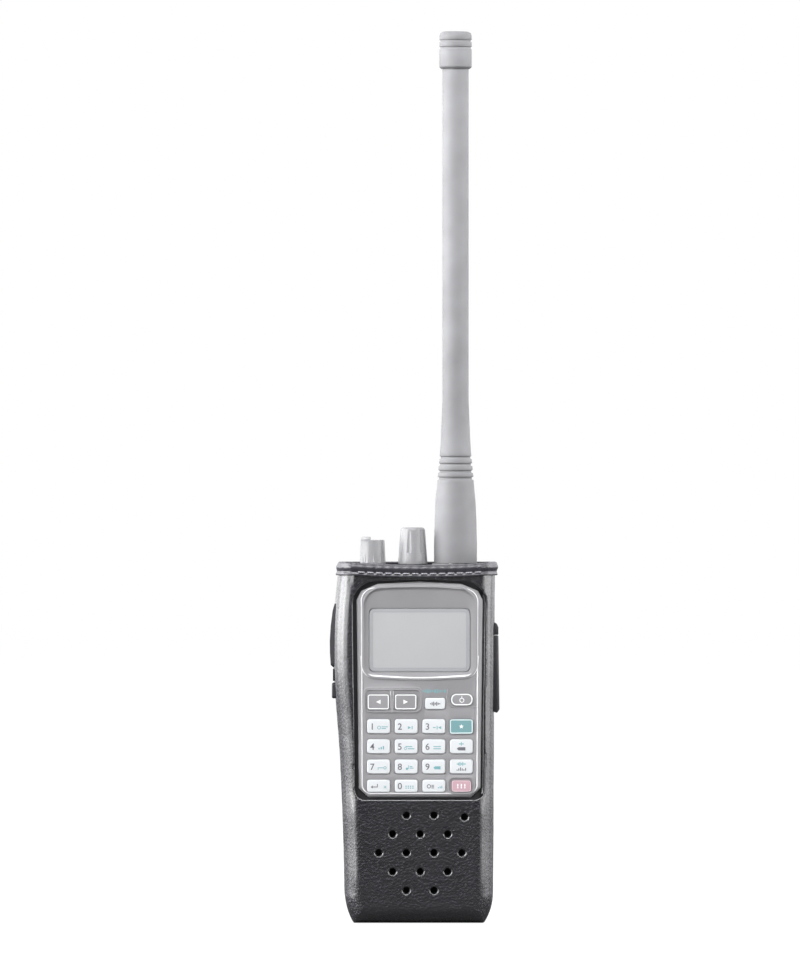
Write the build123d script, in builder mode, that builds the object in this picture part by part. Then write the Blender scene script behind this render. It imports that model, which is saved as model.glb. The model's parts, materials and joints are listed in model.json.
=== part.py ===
from build123d import *
from math import cos, radians, sin
import os

# Handheld aviation radio standing in its leather carrying case.
# Frame: millimetres, +Z up, the front faces -Y, +X is the right-hand side seen from the front.
# The origin is on the ground, in the middle of the case's sole.

# --- leather case -------------------------------------------------------------------------------
LEATHER = 1.8  # thickness of the case leather
CASE_FRONT = -19.6  # outer face of the front
CASE_BACK = 17.6  # plane where the back panel is sewn on
PANEL_BACK = CASE_BACK + LEATHER  # outer face of the back panel
SHELL_TOP = 132.2  # cut edge of the leather, under the binding
FRONT_ROUND = 6.5  # rounding between front and sides
SOLE_LEFT, SOLE_RIGHT = -24.4, 23.8  # corners of the sole
TOE_TOP = 10.0  # height where the folded lower corners end
LOW_LEFT, LOW_RIGHT = -27.6, 27.1  # sides at that height
HEAD_RIGHT = 27.9  # right side, far above the top
OUTLINE_TOP = 150.0  # the outline runs past the case and is cut to length
GRIP_BULGE = [(-30.9, 120.0), (-31.6, 92.0), (-29.9, 70.0), (-28.6, 46.0)]  # left side, from the top
SEAM_LIP = 0.5  # the back panel stands this far out past the sides

BINDING_THICK = 0.9
BINDING_LOW, BINDING_TOP = 128.7, 133.4

WINDOW_LOW, WINDOW_TOP = 45.9, 127.0
WINDOW_HALF_LOW, WINDOW_HALF_TOP = 23.8, 24.8
WINDOW_ROUND_LOW, WINDOW_ROUND_TOP = 3.6, 8.5

SOUND_HOLE = 1.3  # radius
SOUND_CENTRE = (0.2, 26.2)
SOUND_PITCH, SOUND_ROW = 10.2, 6.95
SOUND_COUNTS = [2, 3, 4, 3, 2]  # holes in each row, from the lowest
MIC_AT = (16.5, 39.4)

# --- radio body ---------------------------------------------------------------------------------
GAP = 0.3  # between radio and leather
BODY_INSET = LEATHER + GAP
BODY_FRONT, BODY_BACK = -17.5, 17.3
BODY_TOP = 131.8
PANEL_THICK = 2.0  # top panel
WALL = 1.8  # plastic housing wall
SPLIT_FRONT, SPLIT_BACK = -1.5, -0.9  # the gasket fills the space between the two halves
CHASSIS_WALL = 1.7
HEAD_BASE = 98.0  # the chassis is full depth above this, and a plate below it

FACE_FRONT = -18.9
FACE_EDGE = [(18.9, 46.7), (22.5, 50.0), (23.3, 119.6), (21.6, 122.9), (15.5, 125.5)]  # right half
FACE_TOP = 126.4
DISPLAY_FLOOR = -18.4  # the display field is sunk below the face
DISPLAY_CENTRE = (0.0, 104.75)
LENS_SIZE = (37.4, 23.5)
LCD_SIZE = (35.6, 21.2)

BOARD_FRONT, BOARD_BACK = -13.8, -12.8  # keypad board
MAIN_FRONT, MAIN_BACK = -5.5, -4.3  # radio board
BOSSES = [(-21.0, 9.5), (21.0, 9.5), (-22.6, 76.5), (22.6, 76.5)]
BOSS_RADIUS, SCREW_RADIUS = 1.9, 1.0

# --- keys ---------------------------------------------------------------------------------------
KEY_FRONT, KEY_FOOT = -19.4, -14.6
KEY_FLANGE = (-17.4, -16.6)  # front and back of the flange that holds a key in
KEY_FLANGE_LIP = 0.25
KEY_CLEARANCE = 0.15
KEY_STEM = (5.0, 3.0)
MAT_FRONT, MAT_BACK = -15.7, -15.0
KEY_COLUMNS = [-15.15, -4.95, 5.25, 15.4]
KEY_ROWS = [72.85, 65.43, 58.0, 50.85]
KEY_SIZE, LOW_KEY_SIZE = (8.5, 5.3), (8.5, 4.7)  # the lowest row is shorter
KEY_NAMES = [
    ["key_1", "key_2", "key_3", "key_function"],
    ["key_4", "key_5", "key_6", "key_clear"],
    ["key_7", "key_8", "key_9", "key_scan"],
    ["key_enter", "key_0", "key_recall", "key_emergency"],
]
EMERGENCY_SIZE = (7.1, 4.1)

# --- side controls ------------------------------------------------------------------------------
SIDE_CENTRE = -8.6  # middle of the side controls, front to back
TALK_LOW, TALK_HIGH, TALK_WIDE = 94.6, 118.1, 9.6
LIGHT_LOW, LIGHT_HIGH, LIGHT_WIDE = 83.0, 88.8, 6.4
JACKS = [("microphone", 99.0, 1.75), ("speaker", 88.0, 1.25)]  # name, height, radius

# --- top controls -------------------------------------------------------------------------------
VOLUME_AT, DIAL_AT = (-17.4, 2.5), (-2.5, 2.5)
KNOB_BASE = 132.7
SHAFT_RADIUS, SHAFT_FIT = 2.2, 0.05
BUSHING_RADIUS = 3.2
ANTENNA_AT = (13.4, 3.5)
SOCKET_RADIUS = 4.7
PLUG_RADIUS, PLUG_BORE, PLUG_TOP = 6.4, 5.05, 149.0
LUG_RADIUS, LUG_HEIGHT, LUG_FIT = 0.9, 140.5, 0.35
BAYONET_RISE = 2.2  # over a quarter turn
CAP_LOW, CAP_TOP, CAP_RADIUS = 316.9, 330.7, 6.05


def front_plane(y):
    """Sketch plane at depth y: its X is the row's X, its Y is the row's Z, and it faces -Y."""
    return Plane.XZ.offset(-y)


def case_outline(y, inset, low, high):
    """Front view of the case at depth y, moved inwards by inset, between two heights."""
    with BuildSketch(front_plane(y)) as outline:
        with BuildLine():
            sole = Line((SOLE_LEFT + 0.6 * inset, inset), (SOLE_RIGHT - 0.6 * inset, inset))
            right_toe = ThreePointArc(
                sole @ 1,
                (LOW_RIGHT - 0.9 - 0.95 * inset, TOE_TOP / 2 + 0.3 * inset),
                (LOW_RIGHT - inset, TOE_TOP),
            )
            right_side = Line(right_toe @ 1, (HEAD_RIGHT - inset, OUTLINE_TOP))
            top = Line(right_side @ 1, (inset - 26.0, OUTLINE_TOP))
            bulge = [(across + inset, height) for across, height in GRIP_BULGE]
            left_side = Spline(top @ 1, *bulge, (LOW_LEFT + inset, TOE_TOP))
            ThreePointArc(
                left_side @ 1,
                (LOW_LEFT + 0.9 + 0.95 * inset, TOE_TOP / 2 + 0.3 * inset),
                sole @ 0,
            )
        make_face()
        with Locations((0, (low + high) / 2)):
            Rectangle(4 * LOW_RIGHT, high - low, mode=Mode.INTERSECT)
    return outline.sketch


def case_block(inset, back, low, high):
    """The case's outer form moved inwards by inset, with its front corners rounded."""
    front = CASE_FRONT + inset
    with BuildPart() as block:
        extrude(case_outline(back, inset, low, high), amount=back - front)
        rim = block.faces().sort_by(Axis.Y)[0].edges()
        fillet(rim.filter_by(lambda edge: low < edge.center().Z < high), FRONT_ROUND - inset)
    return block.part


def body_block(inset, front, back, low, high):
    """A slice of the radio body, which follows the case from inside."""
    with BuildPart() as block:
        extrude(case_outline(back, inset, low, high), amount=back - front)
    return block.part


def window_outline(y):
    """The window in the front of the case, with its slightly arched top."""
    with BuildSketch(front_plane(y)) as outline:
        with BuildLine():
            base = Line((-WINDOW_HALF_LOW, WINDOW_LOW), (WINDOW_HALF_LOW, WINDOW_LOW))
            right = Line(base @ 1, (WINDOW_HALF_TOP, WINDOW_TOP - 1.2))
            arch = ThreePointArc(right @ 1, (0, WINDOW_TOP), (-WINDOW_HALF_TOP, WINDOW_TOP - 1.2))
            Line(arch @ 1, base @ 0)
        make_face()
        fillet(outline.vertices().group_by(Axis.Y)[0], WINDOW_ROUND_LOW)
        fillet(outline.vertices().group_by(Axis.Y)[-1], WINDOW_ROUND_TOP)
    return outline.sketch


def face_outline(y):
    """Outline of the radio's face: straight sides, with its corners cut at an angle."""
    with BuildSketch(front_plane(y)) as outline:
        with BuildLine():
            left_half = [(-across, height) for across, height in reversed(FACE_EDGE)]
            Polyline(*FACE_EDGE, (0, FACE_TOP), *left_half, close=True)
        make_face()
        fillet(outline.vertices(), 0.8)
    return outline.sketch


def field_outline(y, outset):
    """The display field: a wide arch above, a shallow curve below."""
    low, high, half = 91.6, 123.4, 20.6
    with BuildSketch(front_plane(y)) as outline:
        with BuildLine():
            base = ThreePointArc((-half, low), (0, low - 0.9), (half, low))
            right = Line(base @ 1, (half, high))
            arch = ThreePointArc(right @ 1, (0, high + 0.9), (-half, high))
            Line(arch @ 1, base @ 0)
        make_face()
        fillet(outline.vertices().group_by(Axis.Y)[0], 4.5)
        fillet(outline.vertices().group_by(Axis.Y)[-1], 6.5)
        if outset:
            offset(amount=outset, kind=Kind.INTERSECTION)
    return outline.sketch


def sound_points():
    """Centres of the sound holes, in a hexagon of rows."""
    points = []
    for row, count in enumerate(SOUND_COUNTS):
        height = SOUND_CENTRE[1] + (row - 2) * SOUND_ROW
        for place in range(count):
            points.append((SOUND_CENTRE[0] + (place - (count - 1) / 2) * SOUND_PITCH, height))
    return points


def key_table():
    """Every key: name, centre, size and corner radius."""
    keys = []
    for names, height in zip(KEY_NAMES, KEY_ROWS):
        for name, across in zip(names, KEY_COLUMNS):
            size = LOW_KEY_SIZE if height == KEY_ROWS[-1] else KEY_SIZE
            if name == "key_emergency":
                size = EMERGENCY_SIZE
            keys.append((name, (across, height), size, 1.0))
    keys.append(("key_left", (-15.25, 81.95), (7.9, 5.5), 0.9))
    keys.append(("key_right", (-5.15, 81.95), (7.9, 5.5), 0.9))
    keys.append(("key_squelch", (5.75, 81.25), (7.5, 4.3), 1.0))
    keys.append(("key_power", (15.6, 82.8), (8.0, 4.3), 2.1))
    return keys


def save(shape, name):
    """Labels a finished piece and writes it as the node of that name."""
    shape.label = name
    export_step(shape, f"parts/{name}.step")


os.makedirs("parts", exist_ok=True)
KEYS = key_table()

# ================================================================================================
# Leather case
# ================================================================================================

CAVITY = case_block(LEATHER, CASE_BACK, -1, OUTLINE_TOP)
SHELL_FORM = case_block(0, CASE_BACK, -1, SHELL_TOP)


def side_opening(low, high, wide, direction):
    """A rounded hole through one side, at the side controls."""
    with BuildPart() as cut:
        with BuildSketch(Plane.YZ.offset(direction * 20)):
            with Locations((SIDE_CENTRE, (low + high) / 2)):
                RectangleRounded(wide, high - low, 2.4)
        extrude(amount=direction * 20)
    return cut.part


# One moulded piece of leather makes the front, both sides and the sole.
with BuildPart() as case_shell:
    add(SHELL_FORM)
    add(CAVITY, mode=Mode.SUBTRACT)
    extrude(window_outline(BODY_FRONT), amount=4, mode=Mode.SUBTRACT)
    with BuildSketch(front_plane(BODY_FRONT)):
        with Locations(*sound_points(), MIC_AT):
            Circle(SOUND_HOLE)
    extrude(amount=4, mode=Mode.SUBTRACT)
    add(side_opening(81.8, 119.2, 11.6, -1), mode=Mode.SUBTRACT)
    add(side_opening(76.5, 112.5, 11.6, 1), mode=Mode.SUBTRACT)
save(case_shell.part, "case_shell")

# The back is a flat panel sewn to the shell, with a thin lip past its sides.
RIVET_POINTS = [(-11.0, 118.6), (11.0, 118.6), (-11.0, 52.0), (11.0, 52.0)]
RIVET_POST, RIVET_HEAD = 1.2, 3.6
with BuildPart() as case_back_panel:
    extrude(case_outline(PANEL_BACK, -SEAM_LIP, 0, SHELL_TOP), amount=LEATHER)
    with BuildSketch(front_plane(PANEL_BACK)):
        with Locations(*RIVET_POINTS):
            Circle(RIVET_POST)
    extrude(amount=LEATHER, mode=Mode.SUBTRACT)
save(case_back_panel.part, "case_back_panel")

# A folded strip binds the top edges of the shell and the panel together.
with BuildPart() as top_binding:
    add(case_block(-BINDING_THICK, PANEL_BACK + BINDING_THICK, BINDING_LOW, BINDING_TOP))
    add(CAVITY, mode=Mode.SUBTRACT)
    add(SHELL_FORM, mode=Mode.SUBTRACT)
    add(case_back_panel.part, mode=Mode.SUBTRACT)
save(top_binding.part, "top_binding")

# The belt loop is a strap riveted above and below, standing clear of the panel between.
LOOP_THICK, LOOP_WIDE, LOOP_STANDOFF = 2.0, 34.0, 5.2
LOOP_NEAR = PANEL_BACK + LOOP_THICK / 2
LOOP_FAR = LOOP_NEAR + LOOP_STANDOFF
with BuildPart() as belt_loop:
    with BuildSketch(Plane.YZ.offset(-LOOP_WIDE / 2)):
        with BuildLine():
            FilletPolyline(
                (LOOP_NEAR, 46.0), (LOOP_NEAR, 58.5), (LOOP_FAR, 67.0),
                (LOOP_FAR, 104.0), (LOOP_NEAR, 112.5), (LOOP_NEAR, 124.5),
                radius=5.0,
            )
        trace(line_width=LOOP_THICK)
    extrude(amount=LOOP_WIDE)
    with BuildSketch(front_plane(PANEL_BACK + LOOP_THICK)):
        with Locations(*RIVET_POINTS):
            Circle(RIVET_POST)
    extrude(amount=LOOP_THICK, mode=Mode.SUBTRACT)
save(belt_loop.part, "belt_loop")

with BuildPart() as belt_rivets:
    with BuildSketch(front_plane(PANEL_BACK + LOOP_THICK)):
        with Locations(*RIVET_POINTS):
            Circle(RIVET_POST)
    extrude(amount=LEATHER + LOOP_THICK)
    with BuildSketch(front_plane(PANEL_BACK + LOOP_THICK + 1.0)):
        with Locations(*RIVET_POINTS):
            Circle(RIVET_HEAD)
    extrude(amount=1.0)
    fillet(belt_rivets.edges().group_by(Axis.Y)[-1], 0.8)
save(belt_rivets.part, "belt_rivets")

# Short stitches of thread lie on the binding and run down both seams of the back panel.
THREAD, STITCH_LENGTH, STITCH_PITCH = 0.45, 2.4, 3.4
HEM_STITCH_HEIGHT = 130.1
HEM_HALF = 21.5
SEAM_STITCH_INSET = 1.9


def stitch_row(first, last):
    """Evenly spaced centres from first to last."""
    count = round((last - first) / STITCH_PITCH)
    return [first + (last - first) * step / count for step in range(count + 1)]


with BuildPart() as case_stitching:
    for across in stitch_row(-HEM_HALF, HEM_HALF):
        for depth in (CASE_FRONT - BINDING_THICK - THREAD / 2, PANEL_BACK + BINDING_THICK + THREAD / 2):
            with Locations((across, depth, HEM_STITCH_HEIGHT)):
                Box(STITCH_LENGTH, THREAD, THREAD)
    for height in stitch_row(14.0, 124.0):
        sides = case_outline(0, SEAM_STITCH_INSET, height - 0.1, height + 0.1).bounding_box()
        for across in (sides.min.X, sides.max.X):
            with Locations((across, PANEL_BACK + THREAD / 2, height)):
                Box(THREAD, THREAD, STITCH_LENGTH)
    for across in stitch_row(-20.0, 20.0):
        with Locations((across, PANEL_BACK + THREAD / 2, SEAM_STITCH_INSET)):
            Box(STITCH_LENGTH, THREAD, THREAD)
save(case_stitching.part, "case_stitching")

# ================================================================================================
# Housing of the radio
# ================================================================================================

HOUSING_TOP = BODY_TOP - PANEL_THICK
KEYPAD_HALF, KEYPAD_LOW, KEYPAD_HIGH = 20.1, 47.3, 86.4
LCD_BODY = (38.0, 25.0)
LCD_FRONT = -17.2
BOARD_POSTS = [(-22.3, 60.0), (22.3, 60.0), (-21.5, 121.0), (21.5, 121.0)]
GRILLE_HOLE = 1.0  # radius



def side_block(low, high, wide, round_off, start, end):
    """A rounded block along X at the side controls, from start to end."""
    with BuildPart() as block:
        with BuildSketch(Plane.YZ.offset(start)):
            with Locations((SIDE_CENTRE, (low + high) / 2)):
                RectangleRounded(wide, high - low, round_off)
        extrude(amount=end - start)
    return block.part


with BuildPart() as front_housing:
    add(case_block(BODY_INSET, SPLIT_FRONT, -1, HOUSING_TOP))
    add(side_block(89.5, 93.9, 8.4, 0.8, -20, -32.1))
    add(case_block(BODY_INSET + WALL, SPLIT_FRONT, -1, OUTLINE_TOP), mode=Mode.SUBTRACT)
    with BuildSketch(front_plane(SPLIT_FRONT)):
        with Locations(*BOSSES):
            Circle(BOSS_RADIUS)
    extrude(amount=SPLIT_FRONT - BODY_FRONT - WALL)
    with BuildSketch(front_plane(SPLIT_FRONT)):
        with Locations(*BOSSES):
            Circle(SCREW_RADIUS)
    extrude(amount=9.0, mode=Mode.SUBTRACT)
    with BuildSketch(front_plane(BOARD_FRONT)):
        with Locations(*BOARD_POSTS):
            Circle(0.9)
    extrude(amount=BOARD_FRONT - BODY_FRONT - WALL)
    with BuildSketch(front_plane(-15)):
        with Locations((0, (KEYPAD_LOW + KEYPAD_HIGH) / 2)):
            Rectangle(2 * KEYPAD_HALF, KEYPAD_HIGH - KEYPAD_LOW)
        with Locations(DISPLAY_CENTRE):
            Rectangle(LCD_BODY[0] + 0.6, LCD_BODY[1] + 0.6)
        with Locations(*sound_points(), MIC_AT):
            Circle(GRILLE_HOLE)
    extrude(amount=4, mode=Mode.SUBTRACT)
    add(side_block(TALK_LOW - 0.3, TALK_HIGH + 0.3, TALK_WIDE + 0.6, 1.8, -25, -36), mode=Mode.SUBTRACT)
    add(side_block(LIGHT_LOW - 0.3, LIGHT_HIGH + 0.3, LIGHT_WIDE + 0.6, 1.5, -25, -36), mode=Mode.SUBTRACT)
    with BuildSketch(Plane.YZ.offset(20)):
        for name, height, radius in JACKS:
            with Locations((SIDE_CENTRE, height)):
                Circle(radius + 0.6)
    extrude(amount=8, mode=Mode.SUBTRACT)
save(front_housing.part, "front_housing")

with BuildPart() as housing_gasket:
    add(body_block(BODY_INSET + 0.4, SPLIT_FRONT, SPLIT_BACK, -1, HOUSING_TOP))
    add(body_block(BODY_INSET + 1.4, SPLIT_FRONT, SPLIT_BACK, -1, OUTLINE_TOP), mode=Mode.SUBTRACT)
save(housing_gasket.part, "housing_gasket")

# The metal chassis is a plate behind the boards and a full-depth head above the battery.
PLATE_BACK = 0.8
MAIN_POSTS = [(-19.5, 20.0), (19.5, 20.0), (-19.5, 92.0), (19.5, 92.0)]
LATCH_WIDE, LATCH_LOW, LATCH_HIGH = 14.0, 100.4, 106.0
LATCH_TRAVEL = 2.0

with BuildPart() as rear_chassis:
    add(body_block(BODY_INSET, SPLIT_BACK, BODY_BACK, HEAD_BASE, HOUSING_TOP))
    fillet(rear_chassis.faces().sort_by(Axis.Y)[-1].edges().filter_by(
        lambda edge: HEAD_BASE + 1 < edge.center().Z < HOUSING_TOP - 1), 2.0)
    add(body_block(BODY_INSET + CHASSIS_WALL, SPLIT_BACK, BODY_BACK - CHASSIS_WALL,
                   HEAD_BASE + CHASSIS_WALL, OUTLINE_TOP), mode=Mode.SUBTRACT)
    add(body_block(BODY_INSET, SPLIT_BACK, PLATE_BACK, -1, HEAD_BASE + 1))
    with BuildSketch(front_plane(SPLIT_BACK)):
        with Locations(*MAIN_POSTS):
            Circle(1.6)
    extrude(amount=SPLIT_BACK - MAIN_BACK)
    with BuildSketch(front_plane(PLATE_BACK)):
        with Locations(*BOSSES):
            Circle(SCREW_RADIUS + 0.1)
    extrude(amount=4, mode=Mode.SUBTRACT)
    with BuildSketch(front_plane(PLATE_BACK)):
        with Locations(*BOSSES):
            Circle(2.1)
    extrude(amount=1.0, mode=Mode.SUBTRACT)
    with BuildSketch(front_plane(BODY_BACK)):
        with Locations((0, (LATCH_LOW + LATCH_HIGH + LATCH_TRAVEL) / 2)):
            Rectangle(LATCH_WIDE + 0.6, LATCH_HIGH + LATCH_TRAVEL - LATCH_LOW + 0.6)
    extrude(amount=CHASSIS_WALL + 1, mode=Mode.SUBTRACT)
save(rear_chassis.part, "rear_chassis")

with BuildPart() as housing_screws:
    with BuildSketch(front_plane(PLATE_BACK - 0.1)):
        with Locations(*BOSSES):
            Circle(2.0)
    extrude(amount=0.9)
    with BuildSketch(front_plane(PLATE_BACK - 1.0)):
        with Locations(*BOSSES):
            Circle(SCREW_RADIUS)
    extrude(amount=8.5)
    with BuildSketch(front_plane(PLATE_BACK - 0.1)):
        with Locations(*BOSSES):
            Rectangle(2.8, 0.5)
            Rectangle(0.5, 2.8)
    extrude(amount=0.5, mode=Mode.SUBTRACT)
save(housing_screws.part, "housing_screws")

# ================================================================================================
# Face, display and keys
# ================================================================================================

ARROW_FRAME = (-9.9, 82.4, 21.4, 8.8)  # centre x, centre z, width, height
RELIEF = 0.3

with BuildPart() as face_plate:
    extrude(face_outline(BODY_FRONT), amount=BODY_FRONT - FACE_FRONT)
    chamfer(face_plate.faces().sort_by(Axis.Y)[0].edges(), 0.7)
    extrude(field_outline(DISPLAY_FLOOR, 0), amount=2, mode=Mode.SUBTRACT)
    extrude(field_outline(FACE_FRONT, 0.7) - field_outline(FACE_FRONT, 0), amount=RELIEF)
    with BuildSketch(front_plane(FACE_FRONT)):
        with Locations(ARROW_FRAME[:2]):
            RectangleRounded(ARROW_FRAME[2], ARROW_FRAME[3], 2.4)
            RectangleRounded(ARROW_FRAME[2] - 1.0, ARROW_FRAME[3] - 1.0, 1.9, mode=Mode.SUBTRACT)
        with Locations((-10.2, ARROW_FRAME[1])):
            Rectangle(0.9, ARROW_FRAME[3] - 1.0)
        with Locations((KEY_COLUMNS[3], KEY_ROWS[3] + 0.25)):
            RectangleRounded(10.2, 6.4, 2.4)
            RectangleRounded(9.2, 5.4, 1.9, mode=Mode.SUBTRACT)
    extrude(amount=RELIEF)
    with BuildSketch(front_plane(BODY_FRONT)):
        for name, centre, size, corner in KEYS:
            with Locations(centre):
                RectangleRounded(size[0] + 2 * KEY_CLEARANCE, size[1] + 2 * KEY_CLEARANCE,
                                 corner + KEY_CLEARANCE - 0.01)
        with Locations(DISPLAY_CENTRE):
            RectangleRounded(LENS_SIZE[0] + 0.2, LENS_SIZE[1] + 0.2, 2.0)
    extrude(amount=3, mode=Mode.SUBTRACT)
save(face_plate.part, "face_plate")

with BuildPart() as display_window:
    with BuildSketch(front_plane(BODY_FRONT)):
        with Locations(DISPLAY_CENTRE):
            RectangleRounded(*LENS_SIZE, 1.9)
    extrude(amount=BODY_FRONT - DISPLAY_FLOOR)
save(display_window.part, "display_window")

with BuildPart() as lcd_panel:
    with BuildSketch(front_plane(BOARD_FRONT)):
        with Locations(DISPLAY_CENTRE):
            Rectangle(*LCD_BODY)
    extrude(amount=BOARD_FRONT - LCD_FRONT)
    with BuildSketch(front_plane(LCD_FRONT)):
        with Locations(DISPLAY_CENTRE):
            Rectangle(*LCD_SIZE)
    extrude(amount=0.2)
save(lcd_panel.part, "lcd_panel")

# Every key is a cap in front, a flange that keeps it behind the face, and a stem to the switch.
for name, centre, size, corner in KEYS:
    with BuildPart() as key:
        with BuildSketch(front_plane(KEY_FLANGE[0])):
            with Locations(centre):
                RectangleRounded(*size, corner)
        extrude(amount=KEY_FLANGE[0] - KEY_FRONT)
        fillet(key.faces().sort_by(Axis.Y)[0].edges(), 0.45)
        with BuildSketch(front_plane(KEY_FLANGE[1])):
            with Locations(centre):
                Rectangle(size[0] + 2 * (KEY_CLEARANCE + KEY_FLANGE_LIP),
                          size[1] + 2 * (KEY_CLEARANCE + KEY_FLANGE_LIP))
        extrude(amount=KEY_FLANGE[1] - KEY_FLANGE[0])
        with BuildSketch(front_plane(KEY_FOOT)):
            with Locations(centre):
                Rectangle(*KEY_STEM)
        extrude(amount=KEY_FOOT - KEY_FLANGE[1])
    save(key.part, name)

with BuildPart() as key_mat:
    with BuildSketch(front_plane(MAT_BACK)):
        with Locations((0, (KEYPAD_LOW + KEYPAD_HIGH) / 2)):
            Rectangle(2 * KEYPAD_HALF + 1.0, KEYPAD_HIGH - KEYPAD_LOW + 2.4)
        for name, centre, size, corner in KEYS:
            with Locations(centre):
                Rectangle(KEY_STEM[0] + 0.8, KEY_STEM[1] + 0.8, mode=Mode.SUBTRACT)
    extrude(amount=MAT_BACK - MAT_FRONT)
save(key_mat.part, "key_mat")


def board(name, half, low, high, front, back):
    """A circuit board with notches round the screw bosses."""
    with BuildPart() as blank:
        with BuildSketch(front_plane(back)):
            with Locations((0, (low + high) / 2)):
                RectangleRounded(2 * half, high - low, 1.0)
            with Locations(*BOSSES):
                Circle(BOSS_RADIUS + 0.4, mode=Mode.SUBTRACT)
        extrude(amount=back - front)
    save(blank.part, name)


board("keypad_board", 22.8, 46.0, 126.0, BOARD_FRONT, BOARD_BACK)
board("main_board", 22.0, 6.0, 119.0, MAIN_FRONT, MAIN_BACK)

# ================================================================================================
# Sound
# ================================================================================================

SPEAKER_RADIUS = 17.0


def speaker_profile(points):
    """A closed section, as (radius, depth) pairs, turned about the speaker's axis."""
    with BuildPart() as turned:
        with BuildSketch(Plane.XY.offset(SOUND_CENTRE[1])):
            with BuildLine():
                Polyline([(SOUND_CENTRE[0] + radius, depth) for radius, depth in points], close=True)
            make_face()
        revolve(axis=Axis((SOUND_CENTRE[0], 0, SOUND_CENTRE[1]), (0, 1, 0)))
    return turned.part


# Basket, magnet and cone are one bonded unit.
save(speaker_profile([
    (SPEAKER_RADIUS, -15.6), (SPEAKER_RADIUS, -14.4), (15.6, -14.4), (10.4, -11.0), (9.0, -11.0),
    (9.0, -7.8), (0.0, -7.8), (0.0, -13.2), (5.5, -12.6), (13.4, -15.5), (15.0, -15.5), (15.0, -15.6),
]), "speaker")

with BuildPart() as microphone:
    with BuildSketch(front_plane(-13.1)):
        with Locations(MIC_AT):
            Circle(2.9)
    extrude(amount=2.5)
save(microphone.part, "microphone")

# ================================================================================================
# Top panel, knobs and their controls
# ================================================================================================

SEAT_RADIUS = 8.9
SEAT_TOP = 132.8

with BuildPart() as top_panel:
    add(case_block(BODY_INSET, BODY_BACK, HOUSING_TOP, BODY_TOP))
    with Locations((*VOLUME_AT, HOUSING_TOP), (*DIAL_AT, HOUSING_TOP)):
        Hole(BUSHING_RADIUS)
    with Locations((*ANTENNA_AT, HOUSING_TOP)):
        Hole(SOCKET_RADIUS)
save(top_panel.part, "top_panel")


def control(name, at, height):
    """A rotary control under the top panel, with the bushing its shaft turns in."""
    with BuildPart() as body:
        with Locations((*at, HOUSING_TOP)):
            Box(11, 11, height, align=(Align.CENTER, Align.CENTER, Align.MAX))
            Cylinder(BUSHING_RADIUS, KNOB_BASE - 0.4 - HOUSING_TOP,
                     align=(Align.CENTER, Align.CENTER, Align.MIN))
        with Locations((*at, HOUSING_TOP - 6)):
            Cylinder(SHAFT_RADIUS + SHAFT_FIT, 12, align=(Align.CENTER, Align.CENTER, Align.MIN),
                     mode=Mode.SUBTRACT)
    save(body.part, name)


def knob_form(at, profile):
    """A closed section, as (radius, height) pairs, turned about a vertical axis."""
    with BuildPart() as turned:
        with BuildSketch(Plane.XZ.offset(-at[1])):
            with BuildLine():
                Polyline([(at[0] + radius, height) for radius, height in profile], close=True)
            make_face()
        revolve(axis=Axis((*at, 0), (0, 0, 1)))
    return turned.part


def shaft(name, at, top):
    """A D-shaped shaft from inside the control up into the knob."""
    with BuildPart() as rod:
        with Locations((*at, HOUSING_TOP - 5.5)):
            Cylinder(SHAFT_RADIUS, top - HOUSING_TOP + 5.5, align=(Align.CENTER, Align.CENTER, Align.MIN))
        with Locations((at[0], at[1] - SHAFT_RADIUS, KNOB_BASE + 1.4)):
            Box(6, 1.4, 20, align=(Align.CENTER, Align.CENTER, Align.MIN), mode=Mode.SUBTRACT)
    save(rod.part, name)
    return rod.part


def flutes(at, radius, count, size, low, high, turn):
    """Grip grooves down the side of a knob."""
    with BuildPart() as grooves:
        for index in range(count):
            angle = radians(turn + 360 * index / count)
            with Locations((at[0] + radius * cos(angle), at[1] + radius * sin(angle), low)):
                Cylinder(size, high - low, align=(Align.CENTER, Align.CENTER, Align.MIN))
    return grooves.part


control("volume_control", VOLUME_AT, 8.0)
volume_shaft = shaft("volume_shaft", VOLUME_AT, 140.0)
with BuildPart() as volume_knob:
    add(knob_form(VOLUME_AT, [(0, KNOB_BASE), (4.85, KNOB_BASE), (4.4, 141.6), (0, 141.6)]))
    with Locations((VOLUME_AT[0] - 0.8, VOLUME_AT[1], 141.6)):
        Box(8, 12, 1.2, align=(Align.MAX, Align.CENTER, Align.MIN))
    add(knob_form(VOLUME_AT, [(0, KNOB_BASE), (4.85, KNOB_BASE), (4.35, 142.8), (0, 142.8)]),
        mode=Mode.INTERSECT)
    fillet(volume_knob.edges().filter_by(GeomType.CIRCLE).group_by(Axis.Z)[-1], 0.8)
    add(flutes(VOLUME_AT, 5.2, 12, 0.6, KNOB_BASE + 0.8, 144, 0), mode=Mode.SUBTRACT)
    add(volume_shaft, mode=Mode.SUBTRACT)
    with Locations((*VOLUME_AT, KNOB_BASE)):
        Cylinder(3.9, 1.2, align=(Align.CENTER, Align.CENTER, Align.MIN), mode=Mode.SUBTRACT)
save(volume_knob.part, "volume_knob")

control("dial_encoder", DIAL_AT, 9.0)
dial_shaft = shaft("dial_shaft", DIAL_AT, 144.0)
with BuildPart() as dial_knob:
    add(knob_form(DIAL_AT, [(0, KNOB_BASE), (5.5, KNOB_BASE), (4.5, 146.3), (0, 146.3)]))
    fillet(dial_knob.edges().group_by(Axis.Z)[-1], 1.3)
    add(flutes(DIAL_AT, 5.5, 6, 1.0, 136.8, 148, 14), mode=Mode.SUBTRACT)
    add(dial_shaft, mode=Mode.SUBTRACT)
    with Locations((*DIAL_AT, KNOB_BASE)):
        Cylinder(3.9, 1.2, align=(Align.CENTER, Align.CENTER, Align.MIN), mode=Mode.SUBTRACT)
save(dial_knob.part, "dial_knob")

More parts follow.
